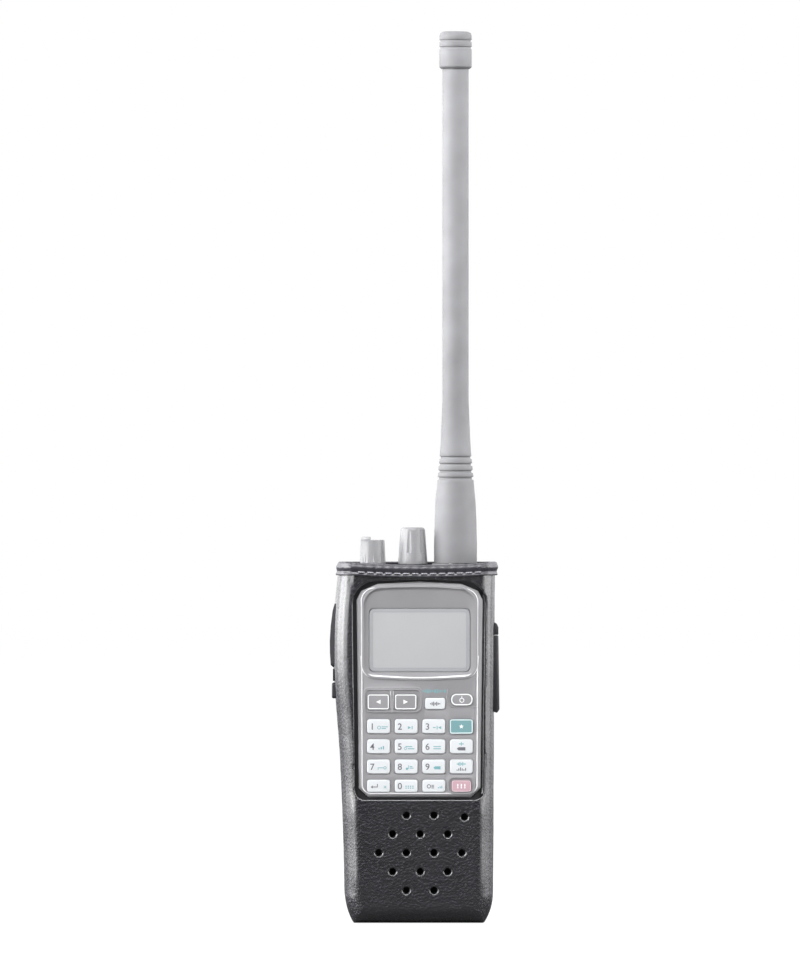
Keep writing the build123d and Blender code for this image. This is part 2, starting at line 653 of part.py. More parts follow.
# ================================================================================================
# Antenna and its bayonet socket
# ================================================================================================

save(knob_form(ANTENNA_AT, [
    (SOCKET_RADIUS, BODY_TOP), (SEAT_RADIUS, BODY_TOP), (SEAT_RADIUS, SEAT_TOP - 0.3),
    (SEAT_RADIUS - 0.3, SEAT_TOP), (SOCKET_RADIUS, SEAT_TOP),
]), "antenna_seat")

LUG_REACH = 6.0
with BuildPart() as antenna_socket:
    add(knob_form(ANTENNA_AT, [
        (1.5, 123.0), (6.0, 123.0), (6.0, HOUSING_TOP), (SOCKET_RADIUS, HOUSING_TOP),
        (SOCKET_RADIUS, 142.0), (4.3, 142.4), (3.6, 142.4), (3.6, 136.0), (1.5, 136.0),
    ]))
    for side in (-1, 1):
        middle = ANTENNA_AT[1] + side * (4.1 + LUG_REACH) / 2
        with Locations(Location((ANTENNA_AT[0], middle, LUG_HEIGHT), (90, 0, 0))):
            Cylinder(LUG_RADIUS, LUG_REACH - 4.1)
save(antenna_socket.part, "antenna_socket")

# The plug's sleeve has two slots: a quarter turn of helix, then straight down and out.
SLOT_STEPS = 18
SLOT_RADIUS = LUG_RADIUS + LUG_FIT
SLEEVE_LOW = 134.1
with BuildPart() as antenna_plug:
    add(knob_form(ANTENNA_AT, [
        (PLUG_BORE, SLEEVE_LOW), (PLUG_RADIUS, SLEEVE_LOW), (PLUG_RADIUS, PLUG_TOP), (0, PLUG_TOP),
        (0, 131.0), (1.0, 131.0), (1.0, 143.2), (PLUG_BORE, 143.2),
    ]))
    for side in (90, 270):
        for step in range(SLOT_STEPS + 1):
            share = step / SLOT_STEPS
            angle = side - 90 * share
            reach = (PLUG_BORE + PLUG_RADIUS) / 2
            place = (
                ANTENNA_AT[0] + reach * cos(radians(angle)),
                ANTENNA_AT[1] + reach * sin(radians(angle)),
                LUG_HEIGHT - BAYONET_RISE * share,
            )
            with Locations(Location(place, (90, 0, angle + 90))):
                Cylinder(SLOT_RADIUS, 2.6, mode=Mode.SUBTRACT)
        with Locations(Location((place[0], place[1], place[2]), (0, 0, angle))):
            Box(2.6, 2 * SLOT_RADIUS, 12, align=(Align.CENTER, Align.CENTER, Align.MAX), mode=Mode.SUBTRACT)
save(antenna_plug.part, "antenna_plug")

GASKET_LOW, GASKET_TOP = SEAT_TOP + 0.1, SEAT_TOP + 1.1
save(knob_form(ANTENNA_AT, [
    (5.4, GASKET_LOW), (7.2, GASKET_LOW), (7.2, GASKET_TOP), (5.4, GASKET_TOP),
]), "antenna_gasket")

ROD_RADIUS, ROD_TOP = 1.2, 318.6
SHEATH = [
    (7.5, 133.0), (8.0, 133.0), (8.0, 139.8), (7.8, 149.0), (7.43, 156.5), (7.06, 160.0), (6.75, 163.9),
    (6.1, 164.1), (6.1, 164.9), (6.66, 165.1), (6.55, 166.5), (5.9, 166.7), (5.9, 167.4), (6.4, 167.6),
    (6.3, 169.1), (5.7, 169.3), (5.7, 170.0), (6.13, 170.2), (6.05, 171.7), (5.47, 171.9), (5.47, 172.6),
    (5.9, 172.8), (5.5, 178.8), (5.2, 186.2), (4.9, 193.7), (4.9, CAP_LOW), (ROD_RADIUS, CAP_LOW),
    (ROD_RADIUS, PLUG_TOP), (PLUG_RADIUS, PLUG_TOP), (PLUG_RADIUS, GASKET_TOP + 0.1),
    (7.5, GASKET_TOP + 0.1),
]
save(knob_form(ANTENNA_AT, SHEATH), "antenna_sheath")
save(knob_form(ANTENNA_AT, [
    (0, PLUG_TOP), (ROD_RADIUS, PLUG_TOP), (ROD_RADIUS, ROD_TOP - 0.4), (ROD_RADIUS - 0.4, ROD_TOP),
    (0, ROD_TOP),
]), "antenna_element")
save(knob_form(ANTENNA_AT, [
    (ROD_RADIUS, CAP_LOW), (CAP_RADIUS - 0.7, CAP_LOW), (CAP_RADIUS, CAP_LOW + 0.7), (CAP_RADIUS, 324.3),
    (CAP_RADIUS - 0.4, 324.4), (CAP_RADIUS - 0.4, 325.0), (CAP_RADIUS, 325.1), (CAP_RADIUS, 326.9),
    (CAP_RADIUS - 0.4, 327.0), (CAP_RADIUS - 0.4, 327.6), (CAP_RADIUS, 327.7), (CAP_RADIUS, 329.3),
    (CAP_RADIUS - 0.4, 330.3), (CAP_RADIUS - 1.4, CAP_TOP), (0, CAP_TOP), (0, ROD_TOP),
    (ROD_RADIUS, ROD_TOP),
]), "antenna_cap")

# ================================================================================================
# Side controls
# ================================================================================================


def side_form(points, wide):
    """A front view extruded front to back, centred on the side controls."""
    with BuildPart() as form:
        with BuildSketch(front_plane(SIDE_CENTRE + wide / 2)):
            with BuildLine():
                Polyline(points, close=True)
            make_face()
        extrude(amount=wide)
    return form.part


FLANGE_OUT, FLANGE_IN = -26.6, -25.8
GRIP_GROOVES, GRIP_PITCH = 5, 2.5

with BuildPart() as talk_button:
    add(side_form([
        (FLANGE_OUT, TALK_LOW), (-32.0, TALK_LOW), (-32.9, 95.4), (-33.2, 100.0), (-33.25, 104.5),
        (-32.9, 110.0), (-32.2, 115.5), (-31.5, TALK_HIGH), (FLANGE_OUT, TALK_HIGH),
    ], TALK_WIDE))
    add(side_block(TALK_LOW, TALK_HIGH, TALK_WIDE, 1.5, FLANGE_OUT, -34), mode=Mode.INTERSECT)
    for groove in range(GRIP_GROOVES):
        height = 106.9 + (groove - (GRIP_GROOVES - 1) / 2) * GRIP_PITCH
        with Locations((-33.7, SIDE_CENTRE, height)):
            Box(2.4, TALK_WIDE - 2.0, 0.9, mode=Mode.SUBTRACT)
    add(side_block(TALK_LOW - 0.7, TALK_HIGH + 0.7, TALK_WIDE + 1.4, 1.0, FLANGE_IN, FLANGE_OUT))
save(talk_button.part, "talk_button")

with BuildPart() as light_button:
    add(side_block(LIGHT_LOW, LIGHT_HIGH, LIGHT_WIDE, 1.2, FLANGE_OUT, -32.5))
    fillet(light_button.faces().sort_by(Axis.X)[0].edges(), 0.6)
    add(side_block(LIGHT_LOW - 0.7, LIGHT_HIGH + 0.7, LIGHT_WIDE + 1.4, 1.0, FLANGE_IN, FLANGE_OUT))
save(light_button.part, "light_button")

COVER_WIDE, COVER_INNER, COVER_OUTER = 9.2, 25.75, 29.2
COVER_LOW, COVER_HINGE, COVER_HIGH = 77.7, 106.4, 111.3
HINGE_GAP = 0.15
save(side_form([
    (COVER_INNER, COVER_HINGE + HINGE_GAP), (COVER_OUTER, COVER_HINGE + HINGE_GAP),
    (COVER_OUTER, COVER_HIGH - 2.0), (COVER_OUTER - 0.5, COVER_HIGH - 0.7),
    (COVER_OUTER - 1.7, COVER_HIGH), (COVER_INNER, COVER_HIGH),
], COVER_WIDE), "jack_cover_anchor")
with BuildPart() as jack_cover:
    add(side_form([
        (COVER_INNER, COVER_LOW + 0.9), (28.7, COVER_LOW), (COVER_OUTER + 0.4, COVER_LOW + 1.3),
        (COVER_OUTER, COVER_HINGE - HINGE_GAP), (COVER_INNER, COVER_HINGE - HINGE_GAP),
    ], COVER_WIDE))
    outer_sides = jack_cover.edges().filter_by(
        lambda edge: edge.center().X > COVER_OUTER and edge.length > 20
    )
    fillet(outer_sides, 0.8)
save(jack_cover.part, "jack_cover")

JACK_DEPTH = 6.0
with BuildPart() as jack_block:
    with BuildSketch(Plane.YZ.offset(16.5)):
        with Locations((SIDE_CENTRE, 93.5)):
            RectangleRounded(5.8, 20.0, 0.6)
    extrude(amount=6.9)
    with BuildSketch(Plane.YZ.offset(23.4)):
        for name, height, radius in JACKS:
            with Locations((SIDE_CENTRE, height)):
                Circle(radius + 0.5)
    extrude(amount=1.9)
    with BuildSketch(Plane.YZ.offset(25.3)):
        for name, height, radius in JACKS:
            with Locations((SIDE_CENTRE, height)):
                Circle(radius)
    extrude(amount=-JACK_DEPTH, mode=Mode.SUBTRACT)
save(jack_block.part, "jack_block")

# ================================================================================================
# Battery pack and its latch
# ================================================================================================

BATTERY_FRONT, BATTERY_TOP = 1.0, 97.7
CELL_RADIUS, CELL_LENGTH, CELL_NUB = 6.9, 42.0, 1.0
CELL_PITCH, CELL_DEPTH = 14.2, 9.1
CELL_STARTS = [7.0, 50.2]
with BuildPart() as battery_case:
    add(body_block(BODY_INSET, BATTERY_FRONT, BODY_BACK, -1, BATTERY_TOP))
    fillet(battery_case.faces().sort_by(Axis.Y)[-1].edges().filter_by(
        lambda edge: 12 < edge.center().Z < BATTERY_TOP - 1), 2.0)
    with BuildSketch(front_plane(16.2)):
        with Locations((0, 50)):
            Rectangle(2 * (CELL_PITCH + CELL_RADIUS + 0.3), 87.2)
    extrude(amount=16.2 - BATTERY_FRONT, mode=Mode.SUBTRACT)
save(battery_case.part, "battery_case")

with BuildPart() as battery_cells:
    for column in (-1, 0, 1):
        for start in CELL_STARTS:
            with Locations((column * CELL_PITCH, CELL_DEPTH, start)):
                Cylinder(CELL_RADIUS, CELL_LENGTH, align=(Align.CENTER, Align.CENTER, Align.MIN))
            with Locations((column * CELL_PITCH, CELL_DEPTH, start + CELL_LENGTH)):
                Cylinder(2.2, CELL_NUB, align=(Align.CENTER, Align.CENTER, Align.MIN))
save(battery_cells.part, "battery_cells")

with BuildPart() as battery_latch:
    with Locations((0, 14.6, LATCH_LOW - 0.3)):
        Box(LATCH_WIDE + 2.4, 0.7, 6.4, align=(Align.CENTER, Align.MIN, Align.MIN))
    with Locations((0, 15.3, LATCH_LOW)):
        Box(LATCH_WIDE, 1.6, LATCH_HIGH - LATCH_LOW, align=(Align.CENTER, Align.MIN, Align.MIN))
    for rib in range(3):
        with Locations((0, 16.9, LATCH_LOW + 1.0 + 1.6 * rib)):
            Box(LATCH_WIDE - 3, 0.3, 0.7, align=(Align.CENTER, Align.MIN, Align.MIN))
save(battery_latch.part, "battery_latch")
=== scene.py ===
import json
import math

import bmesh
import bpy
import numpy as np
from mathutils import Matrix, Vector, noise

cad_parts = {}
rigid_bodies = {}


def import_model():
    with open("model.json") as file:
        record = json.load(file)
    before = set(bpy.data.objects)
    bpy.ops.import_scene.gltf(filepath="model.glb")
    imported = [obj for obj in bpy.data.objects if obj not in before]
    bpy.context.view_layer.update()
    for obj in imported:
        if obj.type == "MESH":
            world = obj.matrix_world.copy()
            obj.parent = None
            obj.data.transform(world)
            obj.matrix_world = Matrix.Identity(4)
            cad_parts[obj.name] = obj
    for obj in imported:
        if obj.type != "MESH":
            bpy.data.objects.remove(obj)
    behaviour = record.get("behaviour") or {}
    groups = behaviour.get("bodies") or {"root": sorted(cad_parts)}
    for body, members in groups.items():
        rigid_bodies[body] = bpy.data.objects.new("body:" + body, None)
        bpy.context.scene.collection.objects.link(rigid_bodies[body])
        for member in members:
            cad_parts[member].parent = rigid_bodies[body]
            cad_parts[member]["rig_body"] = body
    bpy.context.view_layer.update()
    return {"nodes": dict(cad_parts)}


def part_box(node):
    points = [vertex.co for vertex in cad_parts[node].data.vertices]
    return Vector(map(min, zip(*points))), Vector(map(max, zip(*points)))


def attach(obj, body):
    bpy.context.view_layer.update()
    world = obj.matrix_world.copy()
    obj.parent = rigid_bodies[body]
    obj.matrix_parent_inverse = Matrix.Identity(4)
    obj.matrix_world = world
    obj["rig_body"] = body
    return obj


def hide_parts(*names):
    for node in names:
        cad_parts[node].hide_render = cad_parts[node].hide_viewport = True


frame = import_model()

MM = 0.001
ROOT = "radio_in_case"


# --- measures -----------------------------------------------------------------------------------

def front_of(node):
    """A node's middle, seen from the front, and the depth of its front, in millimetres."""
    low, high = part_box(node)
    return ((low[0] + high[0]) / 2 / MM, (low[2] + high[2]) / 2 / MM), low[1] / MM


def size_of(node):
    """A node's width and height, in millimetres."""
    low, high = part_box(node)
    return (high[0] - low[0]) / MM, (high[2] - low[2]) / MM


# --- mesh helpers -------------------------------------------------------------------------------

WELD = 2e-6  # metres within which split vertices are joined
LEVEL_WITHIN = math.radians(0.6)  # faces that lean apart by less than this become one
ROUND_FROM = math.radians(28)  # edges that turn by more than this are rounded


def new_object(name, mesh, material=None, body=ROOT):
    """Links a mesh as a piece that rides on a body."""
    obj = bpy.data.objects.new(name, mesh)
    bpy.context.scene.collection.objects.link(obj)
    if material:
        mesh.materials.clear()
        mesh.materials.append(material)
    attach(obj, body)
    return obj


def mesh_from_bmesh(name, bm):
    mesh = bpy.data.meshes.new(name)
    bm.to_mesh(mesh)
    bm.free()
    return mesh


def welded(node):
    """A bmesh of a CAD node with its split vertices joined."""
    bm = bmesh.new()
    bm.from_mesh(frame["nodes"][node].data)
    bmesh.ops.remove_doubles(bm, verts=bm.verts, dist=WELD)
    return bm


def baked(obj):
    """The object's mesh with its modifiers applied, and the modifiers gone."""
    bpy.context.view_layer.update()
    graph = bpy.context.evaluated_depsgraph_get()
    mesh = bpy.data.meshes.new_from_object(obj.evaluated_get(graph))
    obj.modifiers.clear()
    old = obj.data
    obj.data = mesh
    bpy.data.meshes.remove(old)
    return mesh


def smooth_by_angle(mesh, degrees=32):
    """Smooth shading, with an edge left sharp where the surface turns by more than the angle."""
    if "custom_normal" in mesh.attributes:
        mesh.attributes.remove(mesh.attributes["custom_normal"])
    mesh.shade_smooth()
    mesh.set_sharp_from_angle(angle=math.radians(degrees))


def refined(node, material, bevel, segments=2):
    """A finished copy of a hard CAD node: edges rounded by bevel millimetres, smooth where it curves."""
    name = node + "_finish"
    bm = welded(node)
    bmesh.ops.dissolve_limit(bm, angle_limit=LEVEL_WITHIN, verts=bm.verts, edges=bm.edges)
    mesh = mesh_from_bmesh(name, bm)
    obj = new_object(name, mesh, material, frame["nodes"][node]["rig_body"])
    if bevel:
        mod = obj.modifiers.new("edges", "BEVEL")
        mod.width = bevel * MM
        mod.segments = segments
        mod.limit_method = "ANGLE"
        mod.angle_limit = ROUND_FROM
        mod.use_clamp_overlap = True
        mesh = baked(obj)
    smooth_by_angle(mesh)
    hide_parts(node)
    return obj


def coordinates(mesh):
    co = np.empty(len(mesh.vertices) * 3)
    mesh.vertices.foreach_get("co", co)
    return co.reshape(-1, 3)


def normals(mesh):
    no = np.empty(len(mesh.vertices) * 3)
    mesh.vertices.foreach_get("normal", no)
    return no.reshape(-1, 3)


def write_coordinates(mesh, co):
    mesh.vertices.foreach_set("co", co.ravel())
    mesh.update()


def leather_form(node, voxel, rounds, name):
    """A soft-edged, evenly meshed copy of a leather CAD node, with voxels in millimetres."""
    obj = new_object(name, mesh_from_bmesh(name, welded(node)), None, frame["nodes"][node]["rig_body"])
    remesh = obj.modifiers.new("even", "REMESH")
    remesh.mode = "VOXEL"
    remesh.voxel_size = voxel * MM
    remesh.use_smooth_shade = True
    soft = obj.modifiers.new("soft", "SMOOTH")
    soft.factor = 0.5
    soft.iterations = rounds
    baked(obj)
    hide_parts(node)
    return obj


def noise_at(points, scale, seed):
    """Smooth noise, about -1 to 1, at points in millimetres."""
    offset = Vector((seed * 17.3, seed * 7.1, seed * 3.7))  # each seed reads another place
    return np.array([noise.noise(Vector(p) / scale + offset) for p in points])


# --- materials ----------------------------------------------------------------------------------

COLOR_A, COLOR_B, COLOR_OUT = 6, 7, 2  # a colour Mix node's sockets, which share their names with others


def range_of(low, high, to_low, to_high):
    """A Map Range node's values, by the names of its sockets."""
    return {"From Min": low, "From Max": high, "To Min": to_low, "To Max": to_high}


def shade(tone, factor):
    """A tone made darker or lighter."""
    return tuple(min(1, value * factor) for value in tone)


class Graph:
    """A material's node tree, built call by call."""

    def __init__(self, name, color, roughness, metallic=0.0):
        self.material = bpy.data.materials.new(name)
        self.material.use_nodes = True
        self.tree = self.material.node_tree
        self.shader = self.tree.nodes["Principled BSDF"]
        self.shader.inputs["Base Color"].default_value = (*color, 1)
        self.shader.inputs["Roughness"].default_value = roughness
        self.shader.inputs["Metallic"].default_value = metallic
        self.place = self.tree.nodes.new("ShaderNodeTexCoord").outputs["Object"]
        self.normal = None

    def link(self, a, b):
        self.tree.links.new(a, b)

    def node(self, kind, **values):
        node = self.tree.nodes.new(kind)
        for key, value in values.items():
            if key in node.inputs:
                node.inputs[key].default_value = value
            else:
                setattr(node, key, value)
        return node

    def noise(self, scale, detail, roughness):
        node = self.node("ShaderNodeTexNoise", Scale=scale, Detail=detail, Roughness=roughness)
        self.link(self.place, node.inputs["Vector"])
        return node.outputs["Fac"]

    def cells(self, scale, smoothness=0.0):
        node = self.node("ShaderNodeTexVoronoi", Scale=scale)
        if smoothness:
            node.feature = "SMOOTH_F1"
            node.inputs["Smoothness"].default_value = smoothness
        self.link(self.place, node.inputs["Vector"])
        return node.outputs["Distance"]

    def remap(self, value, low, high, to_low=0.0, to_high=1.0):
        node = self.node("ShaderNodeMapRange", **range_of(low, high, to_low, to_high))
        self.link(value, node.inputs["Value"])
        return node.outputs["Result"]

    def math(self, operation, a, b):
        node = self.node("ShaderNodeMath", operation=operation)
        for socket, value in zip(node.inputs, (a, b)):
            if isinstance(value, (int, float)):
                socket.default_value = value
            else:
                self.link(value, socket)
        return node.outputs[0]

    def bump(self, height, distance, strength):
        """Relief of the given depth in millimetres, on top of any there already."""
        node = self.node("ShaderNodeBump", Distance=distance * MM, Strength=strength)
        self.link(height, node.inputs["Height"])
        if self.normal:
            self.link(self.normal, node.inputs["Normal"])
        self.normal = node.outputs["Normal"]
        self.link(self.normal, self.shader.inputs["Normal"])

    def color(self, factor, first, second):
        """Base colour from first to second along factor."""
        node = self.tree.nodes.new("ShaderNodeMix")
        node.data_type = "RGBA"
        node.inputs[COLOR_A].default_value = (*first, 1)
        node.inputs[COLOR_B].default_value = (*second, 1)
        self.link(factor, node.inputs[0])
        self.link(node.outputs[COLOR_OUT], self.shader.inputs["Base Color"])

    def rough(self, factor, first, second):
        """Roughness from first to second over the middle of a noise."""
        self.link(self.remap(factor, 0.3, 0.7, first, second), self.shader.inputs["Roughness"])

    def set(self, **values):
        """Values for the shader's own sockets, with _ for each space in a name."""
        for key, value in values.items():
            self.shader.inputs[key.replace("_", " ")].default_value = value


PER_METRE = 1000  # a texture's scale is this over its grain in millimetres


def rgb(red, green, blue):
    """Display colour, 0 to 255, as linear numbers."""
    out = []
    for value in (red, green, blue):
        value /= 255
        out.append(value / 12.92 if value <= 0.04045 else ((value + 0.055) / 1.055) ** 2.4)
    return tuple(out)


def leather(name, tone, grain, depth, gloss, gloss_roughness):
    """Black pebbled leather: cells with fine wrinkles between, a little worn and uneven."""
    graph = Graph(name, tone, 0.4)
    pebbles = graph.cells(PER_METRE / grain, 0.45)
    wrinkles = graph.noise(PER_METRE / (grain * 0.55), 3.0, 0.6)
    broad = graph.noise(45, 3.0, 0.55)
    graph.bump(pebbles, depth, 1.0)
    graph.bump(wrinkles, depth * 0.4, 1.0)
    graph.color(graph.remap(broad, 0.35, 0.7), shade(tone, 0.8), shade(tone, 1.3))
    uneven = graph.math("ADD", graph.math("MULTIPLY", broad, 0.5), graph.math("MULTIPLY", wrinkles, 0.5))
    graph.rough(uneven, 0.32, 0.46)
    graph.set(Specular_IOR_Level=0.4, Coat_Weight=gloss, Coat_Roughness=gloss_roughness, Coat_IOR=2.0,
              Coat_Tint=(0.9, 0.9, 1.0, 1.0))
    return graph.material


def plastic(name, tone, roughness=0.4, grain=0.25, depth=0.012, vary=0.06):
    """Moulded plastic with a fine spark-eroded texture."""
    graph = Graph(name, tone, roughness)
    fine = graph.noise(PER_METRE / grain, 2.0, 0.6)
    broad = graph.noise(60, 2.0, 0.5)
    graph.bump(fine, depth, 0.6)
    graph.color(graph.remap(broad, 0.3, 0.7), shade(tone, 1 - vary), shade(tone, 1 + vary))
    graph.rough(fine, roughness - 0.05, roughness + 0.06)
    return graph.material


def rubber(name, tone, roughness=0.62):
    """Matt rubber, a little mottled."""
    graph = Graph(name, tone, roughness)
    fine = graph.noise(2600, 3.0, 0.65)
    broad = graph.noise(70, 2.0, 0.5)
    graph.bump(fine, 0.02, 0.7)
    graph.color(graph.remap(broad, 0.3, 0.7), shade(tone, 0.88), shade(tone, 1.12))
    graph.rough(fine, roughness - 0.06, roughness + 0.08)
    return graph.material


def metal(name, tone, roughness, brushed=0.0):
    """Bare or plated metal; brushed adds depth to its fine scratches, in millimetres."""
    graph = Graph(name, tone, roughness, 1.0)
    fine = graph.noise(1800, 3.0, 0.6)
    graph.bump(fine, 0.006 + brushed, 0.5)
    graph.rough(fine, roughness - 0.08, roughness + 0.1)
    return graph.material


def board_green(name):
    """A circuit board's lacquer over its tracks."""
    graph = Graph(name, rgb(38, 86, 60), 0.35)
    tracks = graph.cells(420)
    graph.color(graph.remap(tracks, 0.35, 0.42), rgb(30, 74, 50), rgb(48, 104, 70))
    graph.bump(tracks, 0.03, 0.5)
    return graph.material


def thread_material(name):
    """Twisted waxed thread, lighter on the ridges of its twist: a painted highlight."""
    graph = Graph(name, rgb(120, 118, 126), 0.5)
    twist = graph.node("ShaderNodeTexWave", Scale=900.0, Distortion=1.5)
    twist.bands_direction = "DIAGONAL"
    graph.link(graph.place, twist.inputs["Vector"])
    graph.bump(twist.outputs["Fac"], 0.08, 0.8)
    # Painted highlight: the thread is lighter where its twist stands up.
    graph.color(twist.outputs["Fac"], rgb(120, 118, 126), rgb(206, 204, 212))
    return graph.material


def lens_material(name):
    """Clear plastic with faint smudges."""
    graph = Graph(name, rgb(236, 238, 240), 0.06)
    smudge = graph.noise(90, 3.0, 0.6)
    graph.rough(smudge, 0.05, 0.12)
    graph.set(Alpha=0.1, Specular_IOR_Level=0.5)
    graph.material.surface_render_method = "BLENDED"
    return graph.material


LEATHER = leather("case_leather", rgb(7, 6, 13), 0.9, 0.33, 1.0, 0.26)
# The binding is the same black leather in a lighter tone: a painted highlight for the band of light along the
# hem. The belt loop uses it too.
BINDING_LIGHTENED = leather("binding_leather", rgb(38, 37, 44), 0.7, 0.2, 0.7, 0.36)
FACE = plastic("face_plastic", rgb(150, 149, 152), 0.4)
HOUSING = plastic("housing_plastic", rgb(36, 36, 39), 0.66)
KNOB = plastic("knob_plastic", rgb(150, 150, 153), 0.28)
SIDE_RUBBER = rubber("button_rubber", rgb(52, 52, 57), 0.55)
ANTENNA = rubber("antenna_rubber", rgb(138, 138, 141), 0.55)
KEY_WHITE = plastic("key_white", rgb(216, 219, 222), 0.34, 0.3, 0.006, 0.01)
KEY_GREY = plastic("key_grey", rgb(148, 147, 150), 0.4)
KEY_TEAL = plastic("key_teal", rgb(121, 160, 164), 0.34, 0.3, 0.006, 0.02)
KEY_PINK = plastic("key_pink", rgb(197, 163, 173), 0.34, 0.3, 0.006, 0.02)
LCD = plastic("lcd_glass", rgb(172, 173, 175), 0.34, 0.4, 0.003, 0.015)
LCD_BORDER = plastic("lcd_border", rgb(156, 157, 161), 0.3, 0.4, 0.003, 0.01)
INK_WHITE = plastic("ink_white", rgb(240, 242, 243), 0.5, 0.2, 0.003, 0.01)
INK_DARK = plastic("ink_dark", rgb(108, 108, 115), 0.5, 0.2, 0.003, 0.01)
INK_TEAL = plastic("ink_teal", rgb(118, 170, 176), 0.5, 0.2, 0.003, 0.01)
RING_TEAL = plastic("ring_teal", rgb(214, 230, 232), 0.4, 0.2, 0.003, 0.01)
RING_PINK = plastic("ring_pink", rgb(226, 202, 210), 0.4, 0.2, 0.003, 0.01)
# Near-white beads: a painted highlight along the raised lines of the face, lighter than the face's own
# plastic.
BEAD_HIGHLIGHT = plastic("bead_painted_highlight", rgb(232, 232, 234), 0.25, 0.25, 0.006, 0.03)
KEY_MAT = plastic("key_mat_silicone", rgb(168, 168, 170), 0.5, 0.3, 0.01, 0.02)
# Near-black: the speaker's grille is dark, and the speaker and microphone are made darker still as painted
# shade inside the sound holes.
GRILLE_AND_HOLE_SHADE = plastic("grille_dark_and_painted_shade", rgb(14, 14, 16), 0.6, 0.3, 0.02, 0.1)
THREAD = thread_material("thread")
RIVET = metal("rivet_metal", (0.62, 0.62, 0.63), 0.26)
STEEL = metal("plated_steel", (0.5, 0.5, 0.49), 0.34, 0.004)
NICKEL = metal("connector_metal", (0.66, 0.65, 0.62), 0.24)
ALUMINIUM = metal("chassis_metal", (0.5, 0.5, 0.51), 0.42, 0.006)
BRASS = metal("radiator_metal", (0.6, 0.42, 0.2), 0.3)
SEAL = rubber("seal_rubber", rgb(30, 30, 32))
BOARD = board_green("circuit_board")
SLEEVE = plastic("cell_wrap", rgb(70, 108, 150), 0.3)
LENS = lens_material("window_lens")

INNER = {
    "front_housing": HOUSING, "top_panel": HOUSING, "battery_case": HOUSING, "battery_latch": HOUSING,
    # speaker and microphone: near-black, painted shade in the sound holes
    "jack_block": HOUSING, "speaker": GRILLE_AND_HOLE_SHADE, "rear_chassis": ALUMINIUM, "microphone": GRILLE_AND_HOLE_SHADE,
    "housing_gasket": SEAL, "key_mat": KEY_MAT, "antenna_gasket": SEAL, "housing_screws": STEEL,
    "volume_control": STEEL, "dial_encoder": STEEL, "volume_shaft": ALUMINIUM, "dial_shaft": ALUMINIUM,
    "keypad_board": BOARD, "main_board": BOARD, "battery_cells": SLEEVE, "antenna_socket": NICKEL,
    "antenna_plug": NICKEL, "antenna_element": BRASS, "lcd_panel": LCD,
}
for node, material in INNER.items():
    data = frame["nodes"][node].data
    data.materials.clear()
    data.materials.append(material)


# --- leather case -------------------------------------------------------------------------------
# Leather is moved after remeshing, in millimetres, point by point over whole arrays.

SOLE_CORNER = 24.2  # half the width of the sole
EDGE_REACH = 4.7  # from the side's edge to the line where the flat front begins
STITCH_PITCH = 3.4
STITCH_HALF = 0.225  # half the thickness of a stitch
STITCH_PROUD = 0.14  # how far the hem's stitches stand out, to clear the puckered seam
SEAM_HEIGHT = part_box("case_stitching")[1][2] / MM - STITCH_HALF
HEM_FROM = 127  # the hem's stitches lie above this height, and all others below it
HEM_DIP = 0.8  # how much lower the hem hangs in the middle
HEM_DIP_REACH = 25  # from the middle to where the hem no longer dips
HOLE_STEP = (10.2, 6.95)  # from one sound hole to the next, across and up
HOLE_ROWS = (2, 3, 4, 3, 2)  # holes in each row
HOLE_INSIDE = 1.2  # points nearer to a hole's middle than this are left alone
HOLE_RIM = 1.9  # the radius where a hole's raised rim is highest
HOLE_RIM_WIDTH = 0.35
HOLE_RIM_RISE = 0.05
FRONT_FROM = 19  # only the front lies further out than this
BREAK_RISE = 0.42  # how far the line between the flat front and the sides stands out
BREAK_INNER, BREAK_OUTER = 4.5, 1.4  # the line's width towards the middle and towards the side
SPREAD_HEIGHT = 11  # below this the line runs out to the corners of the sole
TURN_UNDER = 1.9  # how far the front goes back where it meets the sole
ARC_ENDS, ARC_RISE = 0.9, 2.9  # height of that fold at the corners, and how much higher the middle is

# The hem's profile: height above the seam, width, and how far it stands out.
SEAM_GROOVE = (0, 0.5, -0.30)
HEM_LIP = (-1.0, 0.45, 0.22)
HEM_PAD = (1.6, 0.9, 0.42)

# Where an effect comes in or goes out, from and to: a height, or a distance before the middle.
PUCKERED = (121, 128)
PUCKERED_DEPTH = (15, 19)
BREAK_IN = (5, 17)
BREAK_OUT = (40, 50)
BREAK_DEPTH = (11, 14)
UNDER_DEPTH = (17.6, 19.2)
HEM_DIP_DEPTH = (4, 16)


def dress(obj, material, shape):
    """Gives a leather form its material and lets shape(co, no) move its points, in millimetres."""
    obj.data.materials.clear()
    obj.data.materials.append(material)
    co = coordinates(obj.data) / MM
    write_coordinates(obj.data, shape(co, normals(obj.data)) * MM)


def hump(distance, width):
    """A smooth rise of 1 at distance 0, gone at about twice the width."""
    return np.exp(-(distance / width) ** 2)


def bulge(above, at, width, out):
    """A hump in the hem's profile at a height above the seam."""
    return out * hump(above - at, width)


def fade(value, start, end):
    """0 at start, 1 at end, smooth between."""
    t = np.clip((value - start) / (end - start), 0, 1)
    return t * t * (3 - 2 * t)


def sound_holes():
    """Centres of the round holes in the front, read from the speaker and microphone behind them."""
    middle = front_of("speaker")[0]
    middle_row = len(HOLE_ROWS) // 2
    points = [(middle[0] + (place - (count - 1) / 2) * HOLE_STEP[0],
               middle[1] + (row - middle_row) * HOLE_STEP[1])
              for row, count in enumerate(HOLE_ROWS) for place in range(count)]
    return points + [front_of("microphone")[0]]


def facing_out(co, no):
    """1 where the surface faces away from the middle of the case, 0 inside it and on cut edges."""
    across, depth = co[:, 0], co[:, 1] + 1
    return fade((no[:, 0] * across + no[:, 1] * depth) / np.hypot(across, depth), 0.1, 0.5)


